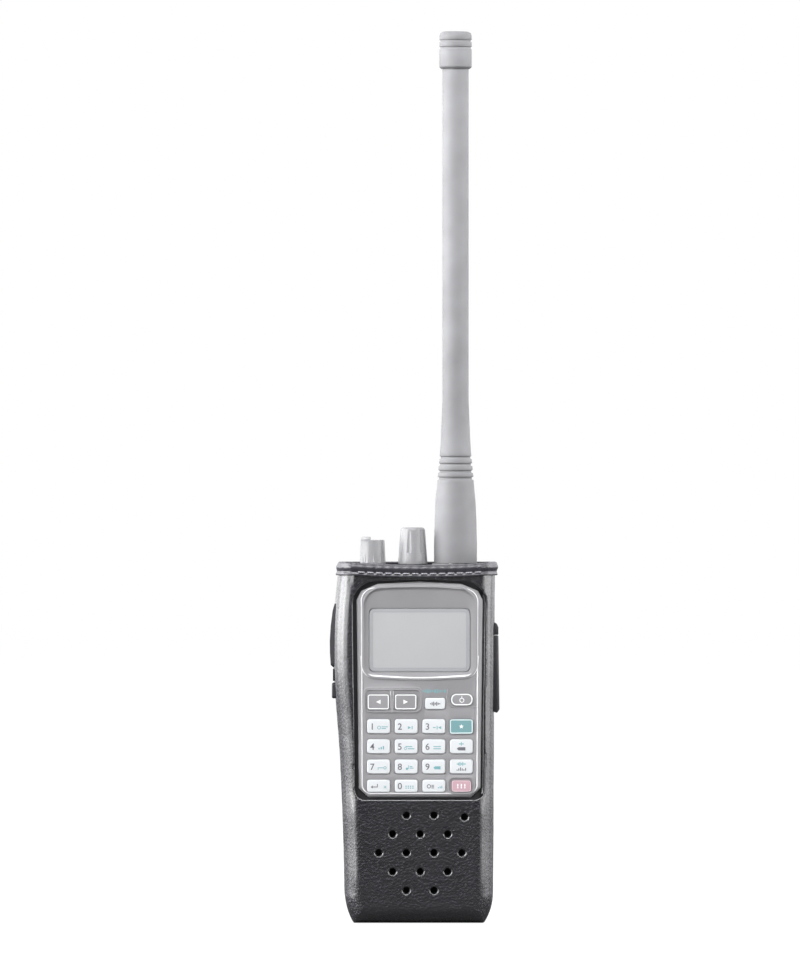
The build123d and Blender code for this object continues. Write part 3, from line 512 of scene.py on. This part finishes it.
def side_edges(co):
    """The left and right edge of the form at every point's height, found at each whole millimetre."""
    far = 99.0
    level = np.clip(np.round(co[:, 2]).astype(int), 0, None)
    left, right = np.full(level.max() + 1, far), np.full(level.max() + 1, -far)
    np.minimum.at(left, level, co[:, 0])
    np.maximum.at(right, level, co[:, 0])
    heights = np.arange(len(left))
    return np.interp(co[:, 2], heights, left), np.interp(co[:, 2], heights, right)


def shell_shape(co, no):
    """The moulded front: uneven, puckered at the hem, with a soft break line and rims round the holes."""
    x, y, z = co[:, 0], co[:, 1], co[:, 2]
    push = 0.10 * noise_at(co, 16, 1) + 0.02 * noise_at(co, 5, 2)
    # Small puckers where the hem's seam pulls.
    push += 0.09 * fade(z, *PUCKERED) * np.cos(2 * math.pi * x / STITCH_PITCH) * fade(-y, *PUCKERED_DEPTH)
    # Below the window the front stays flat and breaks into the rounded sides along a soft edge,
    # which is sharper on its outer side.
    left, right = side_edges(co)
    reach = EDGE_REACH * np.clip(z / SPREAD_HEIGHT, 0.1, 1)
    from_edge = np.minimum(x - left, right - x) - reach
    break_line = np.where(from_edge > 0, hump(from_edge, BREAK_INNER), hump(from_edge, BREAK_OUTER))
    push += BREAK_RISE * break_line * fade(z, *BREAK_IN) * (1 - fade(z, *BREAK_OUT)) * fade(-y, *BREAK_DEPTH)
    # Holes have a slightly raised rim.
    for across, height in sound_holes():
        ring = np.hypot(x - across, z - height)
        rim = HOLE_RIM_RISE * hump(ring - HOLE_RIM, HOLE_RIM_WIDTH)
        push += rim * (ring > HOLE_INSIDE) * (y < -FRONT_FROM)
    co = co + no * (push * facing_out(co, no))[:, None]
    # The front turns under above the sole, highest in the middle.
    arc = ARC_ENDS + ARC_RISE * np.clip(1 - (x / SOLE_CORNER) ** 2, 0, 1)
    under = np.clip((arc - z) / arc, 0, 1) ** 1.5
    co[:, 1] += TURN_UNDER * under * fade(-y, *UNDER_DEPTH)
    co[:, 2] = np.maximum(co[:, 2], 0)
    return co


def plain_leather(co, no):
    """Leather that only lies a little unevenly."""
    push = 0.08 * noise_at(co, 14, 5) + 0.04 * noise_at(co, 4, 6)
    co = co + no * push[:, None]
    co[:, 2] = np.maximum(co[:, 2], 0)
    return co


def hem_dip(co):
    """The hem hangs a little lower in the middle of the front."""
    dip = np.clip(1 - (co[:, 0] / HEM_DIP_REACH) ** 2, 0, 1)
    co[:, 2] -= HEM_DIP * dip * fade(-co[:, 1], *HEM_DIP_DEPTH)
    return co


def binding_shape(co, no):
    """A padded band above the seam, a folded lip below it, and a dimple at every stitch."""
    x, y, above = co[:, 0], co[:, 1], co[:, 2] - SEAM_HEIGHT
    along = np.where(abs(no[:, 1]) > abs(no[:, 0]), x, y)
    flat = np.hypot(no[:, 0], no[:, 1]) > 0.5
    pucker = 0.5 + 0.5 * np.cos(2 * math.pi * along / STITCH_PITCH)
    groove = bulge(above, *SEAM_GROOVE) * (0.3 + 0.7 * pucker)
    pad = bulge(above, *HEM_PAD) * (1.1 - 0.3 * pucker)
    push = groove + bulge(above, *HEM_LIP) + (pad + 0.09 * noise_at(co, 6, 3))
    co = co + no * (push * flat * facing_out(co, no))[:, None]
    return hem_dip(co)


# The hem and the belt loop take the lightened binding leather, which carries a painted highlight.
for node, voxel, rounds, name, material, shape in (
    ("case_shell", 0.38, 4, "leather_shell", LEATHER, shell_shape),
    ("case_back_panel", 0.5, 4, "leather_back", LEATHER, plain_leather),
    ("top_binding", 0.28, 4, "leather_binding", BINDING_LIGHTENED, binding_shape),
    ("belt_loop", 0.45, 5, "leather_loop", BINDING_LIGHTENED, plain_leather),
):
    dress(leather_form(node, voxel, rounds, name), material, shape)
stitching = refined("case_stitching", THREAD, 0.14, 3)
threads = coordinates(stitching.data) / MM
on_hem = threads[:, 2] > HEM_FROM
threads[on_hem] = hem_dip(threads[on_hem])
threads[on_hem, 1] += STITCH_PROUD * np.sign(threads[on_hem, 1])
write_coordinates(stitching.data, threads * MM)
refined("belt_rivets", RIVET, 0.0)


# --- hard parts ---------------------------------------------------------------------------------

for node, material, bevel in (
    ("face_plate", FACE, 0.14), ("display_window", LENS, 0.12), ("volume_knob", KNOB, 0.18),
    ("dial_knob", KNOB, 0.18), ("antenna_seat", FACE, 0.1), ("antenna_sheath", ANTENNA, 0.12),
    ("antenna_cap", ANTENNA, 0.12), ("talk_button", SIDE_RUBBER, 0.3), ("light_button", SIDE_RUBBER, 0.2),
    ("jack_cover", SIDE_RUBBER, 0.35), ("jack_cover_anchor", SIDE_RUBBER, 0.35),
):
    refined(node, material, bevel)

KEY_MATERIAL = {"key_function": KEY_TEAL, "key_emergency": KEY_PINK, "key_power": KEY_GREY,
                "key_left": KEY_GREY, "key_right": KEY_GREY}
KEYS = sorted(node for node in frame["nodes"] if node.startswith("key_") and node != "key_mat")
for node in KEYS:
    refined(node, KEY_MATERIAL.get(node, KEY_WHITE), 0.1)


# --- raised lines and prints on the face and keys -------------------------------------------------
# Outlines are lists of (x, z) in millimetres, seen from the front.

PRINT_SUNK = 0.01  # how far the back of a print lies under its surface
PRINT_RISE = 0.04  # the thickness of a print
LINE_SUNK = 0.05  # how far the foot of a raised line lies under the face
FIGURE_SHARE = 0.6  # a figure's height as a share of its font's size
FIGURE_HALF = 0.02  # half the thickness of a figure
FIGURE_LIFT = 0.015  # from the key's front to the middle of the figure


def filleted(points, radii, steps=7, closed=True):
    """The points joined by straight lines, with a corner of the given radius at each."""
    out = []
    count = len(points)
    for i, point in enumerate(points):
        if not closed and i in (0, count - 1):
            out.append(point)
            continue
        here = Vector(point)
        to_last = (Vector(points[i - 1]) - here).normalized()
        to_next = (Vector(points[(i + 1) % count]) - here).normalized()
        half = to_last.angle(to_next) / 2
        centre = here + (to_last + to_next).normalized() * (radii[i] / math.sin(half))
        start = here + to_last * (radii[i] / math.tan(half)) - centre
        end = here + to_next * (radii[i] / math.tan(half)) - centre
        for step in range(steps + 1):
            spoke = start.lerp(end, step / steps).normalized() * radii[i]
            out.append(tuple(centre + spoke))
    return out


def rounded(width, height, radius, at=(0, 0)):
    x, z = at
    corners = [(x - width / 2, z - height / 2), (x + width / 2, z - height / 2),
               (x + width / 2, z + height / 2), (x - width / 2, z + height / 2)]
    return filleted(corners, [radius] * 4)


def disc(radius, at=(0, 0), steps=24):
    return [(at[0] + radius * math.cos(2 * math.pi * i / steps),
             at[1] + radius * math.sin(2 * math.pi * i / steps)) for i in range(steps)]


def bar(width, height, at=(0, 0)):
    """A filled bar with slightly rounded ends."""
    return rounded(width, height, 0.3 * min(width, height), at)


def ring(width, height, radius, line, at=(0, 0)):
    """An outline and the smaller one inside it."""
    return (rounded(width, height, radius, at),
            rounded(width - 2 * line, height - 2 * line, max(radius - line, 0.05), at))


def hoop(radius, line, at=(0, 0)):
    """A circle's outline and the smaller one inside it."""
    return disc(radius, at), disc(radius - line, at)


def bridge(bm, one, two):
    """Faces between two closed rows of as many points."""
    for i in range(len(one)):
        k = (i + 1) % len(one)
        bm.faces.new((one[i], one[k], two[k], two[i]))


def relief(name, shapes, y, rise, material, node):
    """Flat shapes standing rise in front of depth y: filled outlines, or (outer, inner) rings.

    They are printed on a CAD node, so they ride with its body.
    """
    body = frame["nodes"][node]["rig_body"]
    bm = bmesh.new()
    for shape in shapes:
        outer, inner = shape if isinstance(shape, tuple) else (shape, None)
        loops = []
        for outline in (outer, inner) if inner else (outer,):
            pair = [[bm.verts.new((x * MM, depth * MM, z * MM)) for x, z in outline]
                    for depth in (y, y - rise)]
            loops.append(pair)
            bridge(bm, *pair)
        for side in (0, 1):
            if inner:
                bridge(bm, loops[0][side], loops[1][side])
            else:
                bm.faces.new(loops[0][side])
    bmesh.ops.recalc_face_normals(bm, faces=bm.faces)
    obj = new_object(name, mesh_from_bmesh(name, bm), material, body)


def ridge(name, path, widths, rise, y, material, closed=True, sides=6):
    """A rounded line on the face along a path. It stands rise in front of depth y."""
    bm = bmesh.new()
    rows = []
    count = len(path)
    for i, (x, z) in enumerate(path):
        before = path[i - 1] if closed or i else path[i]
        after = path[(i + 1) % count] if closed or i < count - 1 else path[i]
        along = (Vector(after) - Vector(before)).normalized()
        row = []
        for side in range(sides + 1):
            turn = math.pi * side / sides
            out = math.cos(turn) * widths[i] / 2
            depth = y + LINE_SUNK - (rise + LINE_SUNK) * math.sin(turn)
            row.append(bm.verts.new(((x + along.y * out) * MM, depth * MM, (z - along.x * out) * MM)))
        rows.append(row)
    for i in range(count if closed else count - 1):
        bridge(bm, rows[i], rows[(i + 1) % count])
    if not closed:
        bm.faces.new(rows[0])
        bm.faces.new(rows[-1])
    bmesh.ops.recalc_face_normals(bm, faces=bm.faces)
    mesh = mesh_from_bmesh(name, bm)
    smooth_by_angle(mesh, 50)
    new_object(name, mesh, material)


def digit(text, height, at, y, material, node):
    """A raised figure of the given height, centred at (x, z) and facing the viewer."""
    name = "digit_" + text
    curve = bpy.data.curves.new(name, "FONT")
    curve.body = text
    curve.size = height / FIGURE_SHARE * MM
    curve.offset = 0.035 * MM  # makes the strokes bolder
    curve.extrude = FIGURE_HALF * MM
    curve.resolution_u = 6
    curve.align_x = "CENTER"
    curve.align_y = "CENTER"
    holder = bpy.data.objects.new(name + "_outline", curve)
    bpy.context.scene.collection.objects.link(holder)
    bpy.context.view_layer.update()
    graph = bpy.context.evaluated_depsgraph_get()
    mesh = bpy.data.meshes.new_from_object(holder.evaluated_get(graph))
    bpy.data.objects.remove(holder)
    upright = Matrix.Rotation(math.pi / 2, 4, "X")
    mesh.transform(Matrix.Translation((at[0] * MM, (y - FIGURE_LIFT) * MM, at[1] * MM)) @ upright)
    new_object(name, mesh, material, frame["nodes"][node]["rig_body"])


# Small generic signs, each a list of outlines about its own middle.
SIGNS = {
    "compass": [hoop(0.6, 0.2, (-0.9, 0)), bar(2.0, 0.28, (0.9, 0.25)), bar(1.4, 0.28, (0.6, -0.3))],
    "forward": [[(-0.5, -0.5), (0.5, 0), (-0.5, 0.5)], bar(0.28, 1.1, (0.85, 0))],
    "backward": [[(1.3, -0.5), (1.3, 0.5), (0.3, 0)], bar(0.28, 1.1, (0.0, 0)), bar(0.9, 0.28, (-0.9, 0))],
    "steps": [bar(0.4, 0.5, (-0.9, -0.3)), bar(0.4, 0.8, (-0.2, -0.15)), bar(0.4, 1.1, (0.5, 0))],
    "pair": [bar(2.2, 0.28, (-0.2, 0.35)), bar(2.2, 0.28, (0.5, -0.35)), hoop(0.45, 0.16, (-1.3, -0.25))],
    "double": [bar(2.4, 0.28, (0, 0.35)), bar(2.4, 0.28, (0, -0.35))],
    "lock": [hoop(0.5, 0.2, (1.0, 0)), bar(1.8, 0.24, (-0.45, 0)), bar(0.24, 0.5, (-1.2, -0.4))],
    "note": [disc(0.38, (-0.8, -0.3)), bar(0.2, 1.1, (-0.3, 0.25)), bar(1.3, 0.26, (0.7, -0.1)),
             bar(0.9, 0.26, (0.5, 0.4))],
    "label": [[(-1.2, 0), (-0.7, 0.5), (1.1, 0.5), (1.1, -0.5), (-0.7, -0.5)]],
    "dots": [disc(0.22, (across, height)) for across in (-1.1, -0.37, 0.37, 1.1) for height in (-0.3, 0.3)],
    "sun": [disc(0.42), *[bar(0.22, 0.22, (0.8 * math.cos(a), 0.8 * math.sin(a)))
                          for a in np.linspace(0, 5.5, 8)]],
    "wave": [bar(0.3, tall, (-1.35 + 0.45 * place, 0))
             for place, tall in enumerate((0.4, 0.9, 1.3, 0.7, 1.2, 0.6, 0.35))],
    "cross": [bar(1.7, 0.3), bar(0.3, 0.42, (0, 0.38)), bar(0.3, 0.42, (0, -0.38))],
    "enter": [bar(2.0, 0.34, (0.3, -0.35)), bar(0.34, 1.0, (1.13, 0.36)),
              [(-0.7, -0.95), (-0.7, 0.25), (-1.5, -0.35)]],
    "recall": [hoop(0.85, 0.3, (-0.6, 0)), *[bar(1.1, 0.3, (1.0, height)) for height in (0.45, -0.1, -0.65)]],
    "erase": [[(-1.7, 0), (-1.0, 0.6), (1.5, 0.6), (1.5, -0.6), (-1.0, -0.6)]],
    "sweep": [bar(0.34, tall, (-1.5 + 0.6 * place, (tall - 1.2) / 2))
              for place, tall in enumerate((0.4, 0.8, 1.2, 0.8, 0.5, 1.0))],
    "star": [[(far * math.sin(math.pi * i / 5), far * math.cos(math.pi * i / 5))
              for i, far in enumerate([0.95, 0.95 * 0.42] * 5)]],
    "alert": [bar(0.42, 1.0, (across, 0.28)) for across in (-1.3, 0, 1.3)]
             + [disc(0.26, (across, -0.62)) for across in (-1.3, 0, 1.3)],
    "power": [hoop(0.85, 0.26, (0, -0.1)), bar(0.26, 0.62, (0, 1.05))],
    "left": [[(0.85, -0.85), (0.85, 0.85), (-0.85, 0)]],
    "right": [[(-0.85, -0.85), (0.85, 0), (-0.85, 0.85)]],
}


def sign(kind, node, material, offset, scale):
    """One sign printed on the front of a key."""
    (x, z), y = front_of(node)

    def placed(outline):
        return [(x + offset[0] + scale * across, z + offset[1] + scale * height)
                for across, height in outline]

    shapes = [tuple(placed(outline) for outline in shape) if isinstance(shape, tuple) else placed(shape)
              for shape in SIGNS[kind]]
    relief(f"sign_{kind}_on_{node}", shapes, y + PRINT_SUNK, PRINT_RISE, material, node)


NUMBER_SIGN = {"1": "compass", "2": "forward", "3": "backward", "4": "steps", "5": "pair",
               "6": "double", "7": "lock", "8": "note", "9": "label", "0": "dots"}
DIGIT_HEIGHT = 2.0
DIGIT_OFFSET = (-2.35, -0.15)  # from the key's middle
NUMBER_SIGN_OFFSET = (1.2, -0.4)
for number, kind in NUMBER_SIGN.items():
    node = "key_" + number
    (x, z), y = front_of(node)
    digit(number, DIGIT_HEIGHT, (x + DIGIT_OFFSET[0], z + DIGIT_OFFSET[1]), y, INK_DARK, node)
    sign(kind, node, INK_TEAL, NUMBER_SIGN_OFFSET, 1.15)
for node, kind, material, offset, scale in (
    ("key_clear", "cross", INK_TEAL, (0, 1.0), 1.1), ("key_clear", "erase", INK_DARK, (0, -0.8), 1.0),
    ("key_scan", "wave", INK_TEAL, (0, 1.0), 1.1), ("key_scan", "sweep", INK_DARK, (0, -0.85), 1.05),
    ("key_enter", "enter", INK_DARK, (-1.5, 0), 0.95), ("key_enter", "sun", INK_TEAL, (2.4, -0.35), 0.75),
    ("key_recall", "recall", INK_DARK, (-1.3, -0.1), 0.9),
    ("key_recall", "steps", INK_TEAL, (2.5, -0.35), 0.9),
    ("key_squelch", "wave", INK_DARK, (0, 0), 1.25), ("key_function", "star", INK_WHITE, (0, 0), 1.0),
    ("key_emergency", "alert", INK_WHITE, (0, 0), 1.0), ("key_power", "power", INK_WHITE, (0, -0.15), 1.05),
    ("key_left", "left", INK_WHITE, (0, 0), 1.0), ("key_right", "right", INK_WHITE, (0, 0), 1.0),
):
    sign(kind, node, material, offset, scale)

KEY_RING = {  # line, corner radius, material
    "key_left": (0.42, 0.85, INK_WHITE), "key_right": (0.42, 0.85, INK_WHITE),
    "key_power": (0.48, 2.0, INK_WHITE), "key_function": (0.42, 0.9, RING_TEAL),
    "key_emergency": (0.3, 0.9, RING_PINK),
}
FLANGE_OVERHANG = 0.4  # a key's flange, behind the face, stands out this much past its front, each side
for node, (line, corner, material) in KEY_RING.items():
    middle, y = front_of(node)
    wide, high = size_of(node)
    wide, high = wide - 2 * FLANGE_OVERHANG, high - 2 * FLANGE_OVERHANG
    relief("ring_on_" + node, [ring(wide, high, min(corner, high / 2 - 0.01), line, middle)],
           y + PRINT_SUNK, 0.05, material, node)

FACE_FRONT = -18.9
LENS_MIDDLE, LENS_FRONT = front_of("display_window")
LENS_WIDE, LENS_HIGH = size_of("display_window")
LENS_MARGIN = 0.3  # clear edge of the lens, both sides together
BORDER = 1.4  # printed frame round the picture
BEHIND_LENS = 0.12  # from the lens's front to the back of the picture and its border
PICTURE_RISE = 0.08  # their thickness
BORDER_WIDE, BORDER_HIGH = LENS_WIDE - LENS_MARGIN, LENS_HIGH - LENS_MARGIN
PICTURE = (BORDER_WIDE - 2 * BORDER, BORDER_HIGH - 2 * BORDER)
relief("lens_border", [ring(BORDER_WIDE, BORDER_HIGH, 2.1, BORDER, LENS_MIDDLE)],
       LENS_FRONT + BEHIND_LENS, PICTURE_RISE, LCD_BORDER, "lcd_panel")
relief("lcd_picture", [rounded(PICTURE[0] - 0.02, PICTURE[1] - 0.02, 0.7, LENS_MIDDLE)],
       LENS_FRONT + BEHIND_LENS, PICTURE_RISE, LCD, "lcd_panel")

# The lines round the face, under the window and between the arrow keys use the painted-highlight bead
# material.
outer_path = filleted([(-21.2, 48.1), (21.2, 48.1), (21.5, 123.3), (0, 124.9), (-21.5, 123.7)],
                      [3.2, 3.2, 4.8, 90, 4.8], 10)
ridge("face_bead", outer_path, [0.46] * len(outer_path), 0.22, FACE_FRONT, BEAD_HIGHLIGHT)
foot_path = filleted([(-21.7, 99.0), (-21.3, 91.6), (0, 90.2), (21.3, 91.6), (21.7, 99.0)],
                     [0, 4.6, 120, 4.6, 0], 10, closed=False)
foot_widths = [0.4 + 0.85 * hump(z - 90.6, 2.5) for x, z in foot_path]  # widest under the window
ridge("display_bead", foot_path, foot_widths, 0.3, FACE_FRONT, BEAD_HIGHLIGHT, closed=False)
power_path = filleted([(10.3, 86.6), (9.9, 79.9), (21.6, 79.9)], [0, 3.0, 0], 8, closed=False)
ridge("power_key_bead", power_path, [0.45] * len(power_path), 0.2, FACE_FRONT, FACE, closed=False)
arrow_path = filleted([(-20.6, 79.4), (-20.6, 87.1), (0.7, 87.1), (0.7, 79.4)],
                      [0, 2.0, 2.0, 0], 8, closed=False)
ridge("arrow_keys_bead", arrow_path, [0.8] * len(arrow_path), 0.14, FACE_FRONT, FACE, closed=False)
divider_path = filleted([(-10.7, 79.6), (-10.7, 86.2), (-9.7, 86.2), (-9.7, 79.6)],
                        [0, 0.48, 0.48, 0], 5, closed=False)
ridge("arrow_keys_divider", divider_path, [0.26] * len(divider_path), 0.1, FACE_FRONT, BEAD_HIGHLIGHT, closed=False)

# A row of bars above the emergency key, in place of lettering.
ALERT_AT = (5.75, 85.9)
ALERT_BARS = (0.5, 1.0, 1.5, 1.1, 0.6, 1.3, 1.5, 0.9, 0.5, 1.2, 0.7)
relief("alert_mark", [bar(0.5, tall, (ALERT_AT[0] - 4.5 + 0.9 * place, ALERT_AT[1]))
                      for place, tall in enumerate(ALERT_BARS)],
       FACE_FRONT + PRINT_SUNK, PRINT_RISE, INK_TEAL, "face_plate")


# --- stage --------------------------------------------------------------------------------------

# The floor and the backdrop are brighter to the camera than to the object, which would otherwise be
# lit from below.
FLOOR = -0.0003  # just under the sole, so that the two don't lie in one plane
FLOOR_REACH = 6
floor_mesh = bpy.data.meshes.new("floor")
floor_corners = [(-FLOOR_REACH, -FLOOR_REACH, FLOOR), (FLOOR_REACH, -FLOOR_REACH, FLOOR),
                 (FLOOR_REACH, FLOOR_REACH, FLOOR), (-FLOOR_REACH, FLOOR_REACH, FLOOR)]
floor_mesh.from_pydata(floor_corners, [], [(0, 1, 2, 3)])
floor = bpy.data.objects.new("floor", floor_mesh)
bpy.context.scene.collection.objects.link(floor)
floor_graph = Graph("floor_pale", (0.1, 0.1, 0.1), 0.8)
floor_graph.set(Emission_Color=(0.95, 0.95, 0.95, 1), Specular_IOR_Level=0.0)
floor_rays = floor_graph.node("ShaderNodeLightPath")
floor_graph.link(floor_rays.outputs["Is Camera Ray"], floor_graph.shader.inputs["Emission Strength"])
floor_mesh.materials.append(floor_graph.material)

world = bpy.data.worlds.new("studio")
bpy.context.scene.world = world
world.use_nodes = True
tree = world.node_tree
background = tree.nodes["Background"]
place = tree.nodes.new("ShaderNodeTexCoord")
split = tree.nodes.new("ShaderNodeSeparateXYZ")
tree.links.new(place.outputs["Generated"], split.inputs[0])
ramp = tree.nodes.new("ShaderNodeMapRange")  # dim on the viewer's side of the object, bright behind it
for name, value in range_of(-0.35, 0.3, 0.02, 0.9).items():
    ramp.inputs[name].default_value = value
tree.links.new(split.outputs["Y"], ramp.inputs["Value"])
rays = tree.nodes.new("ShaderNodeLightPath")
choose = tree.nodes.new("ShaderNodeMath")
choose.operation = "MAXIMUM"
tree.links.new(ramp.outputs["Result"], choose.inputs[0])
tree.links.new(rays.outputs["Is Camera Ray"], choose.inputs[1])
tree.links.new(choose.outputs[0], background.inputs["Strength"])
background.inputs["Color"].default_value = (1, 1, 1, 1)


LIGHT_AIM = (0, 0, 0.12)


def softbox(name, at, size, power):
    """A soft rectangular light, turned towards the object."""
    light = bpy.data.lights.new(name, "AREA")
    light.shape = "RECTANGLE"
    light.size, light.size_y = size
    light.energy = power
    obj = bpy.data.objects.new(name, light)
    obj.location = at
    direction = Vector(LIGHT_AIM) - Vector(at)
    obj.rotation_euler = direction.to_track_quat("-Z", "Y").to_euler()
    bpy.context.scene.collection.objects.link(obj)


def around(azimuth, height, distance=1.5):
    """A place for a light, in metres: azimuth 0 is the viewer's side, negative is to the left."""
    angle = math.radians(azimuth)
    return (distance * math.sin(angle), -distance * math.cos(angle), height)


softbox("left_wall", around(-80, 0.4), (1.4, 1.8), 52)
softbox("right_wall", around(80, 0.4), (1.2, 1.8), 24)
softbox("left_rim", around(-128, 0.4), (1.2, 1.8), 12)
softbox("right_rim", around(128, 0.4), (1.2, 1.8), 8)
softbox("left_front", around(-48, 0.15), (1.0, 1.2), 15)
softbox("right_front", around(48, 0.15), (1.0, 1.2), 8)
softbox("overhead", (0, -1.1, 1.4), (1.6, 0.6), 25)

camera_data = bpy.data.cameras.new("camera")
camera = bpy.data.objects.new("camera", camera_data)
bpy.context.scene.collection.objects.link(camera)
DISTANCE = 3.0
FRAME_WIDTH = 0.2974  # what the picture's width takes in at the object, in metres
SENSOR = 36
PICTURE_MIDDLE = (-0.00725, 0.1639)  # x and z
camera_data.sensor_fit = "HORIZONTAL"
camera_data.sensor_width = SENSOR
camera_data.lens = SENSOR * DISTANCE / FRAME_WIDTH
camera_data.clip_start = 0.05
camera_data.clip_end = 50
camera.location = (PICTURE_MIDDLE[0], -DISTANCE, PICTURE_MIDDLE[1])
camera.rotation_euler = (math.radians(90), 0, 0)
bpy.context.scene.camera = camera

scene = bpy.context.scene
scene.view_settings.view_transform = "Standard"
scene.view_settings.look = "None"

bpy.context.view_layer.update()
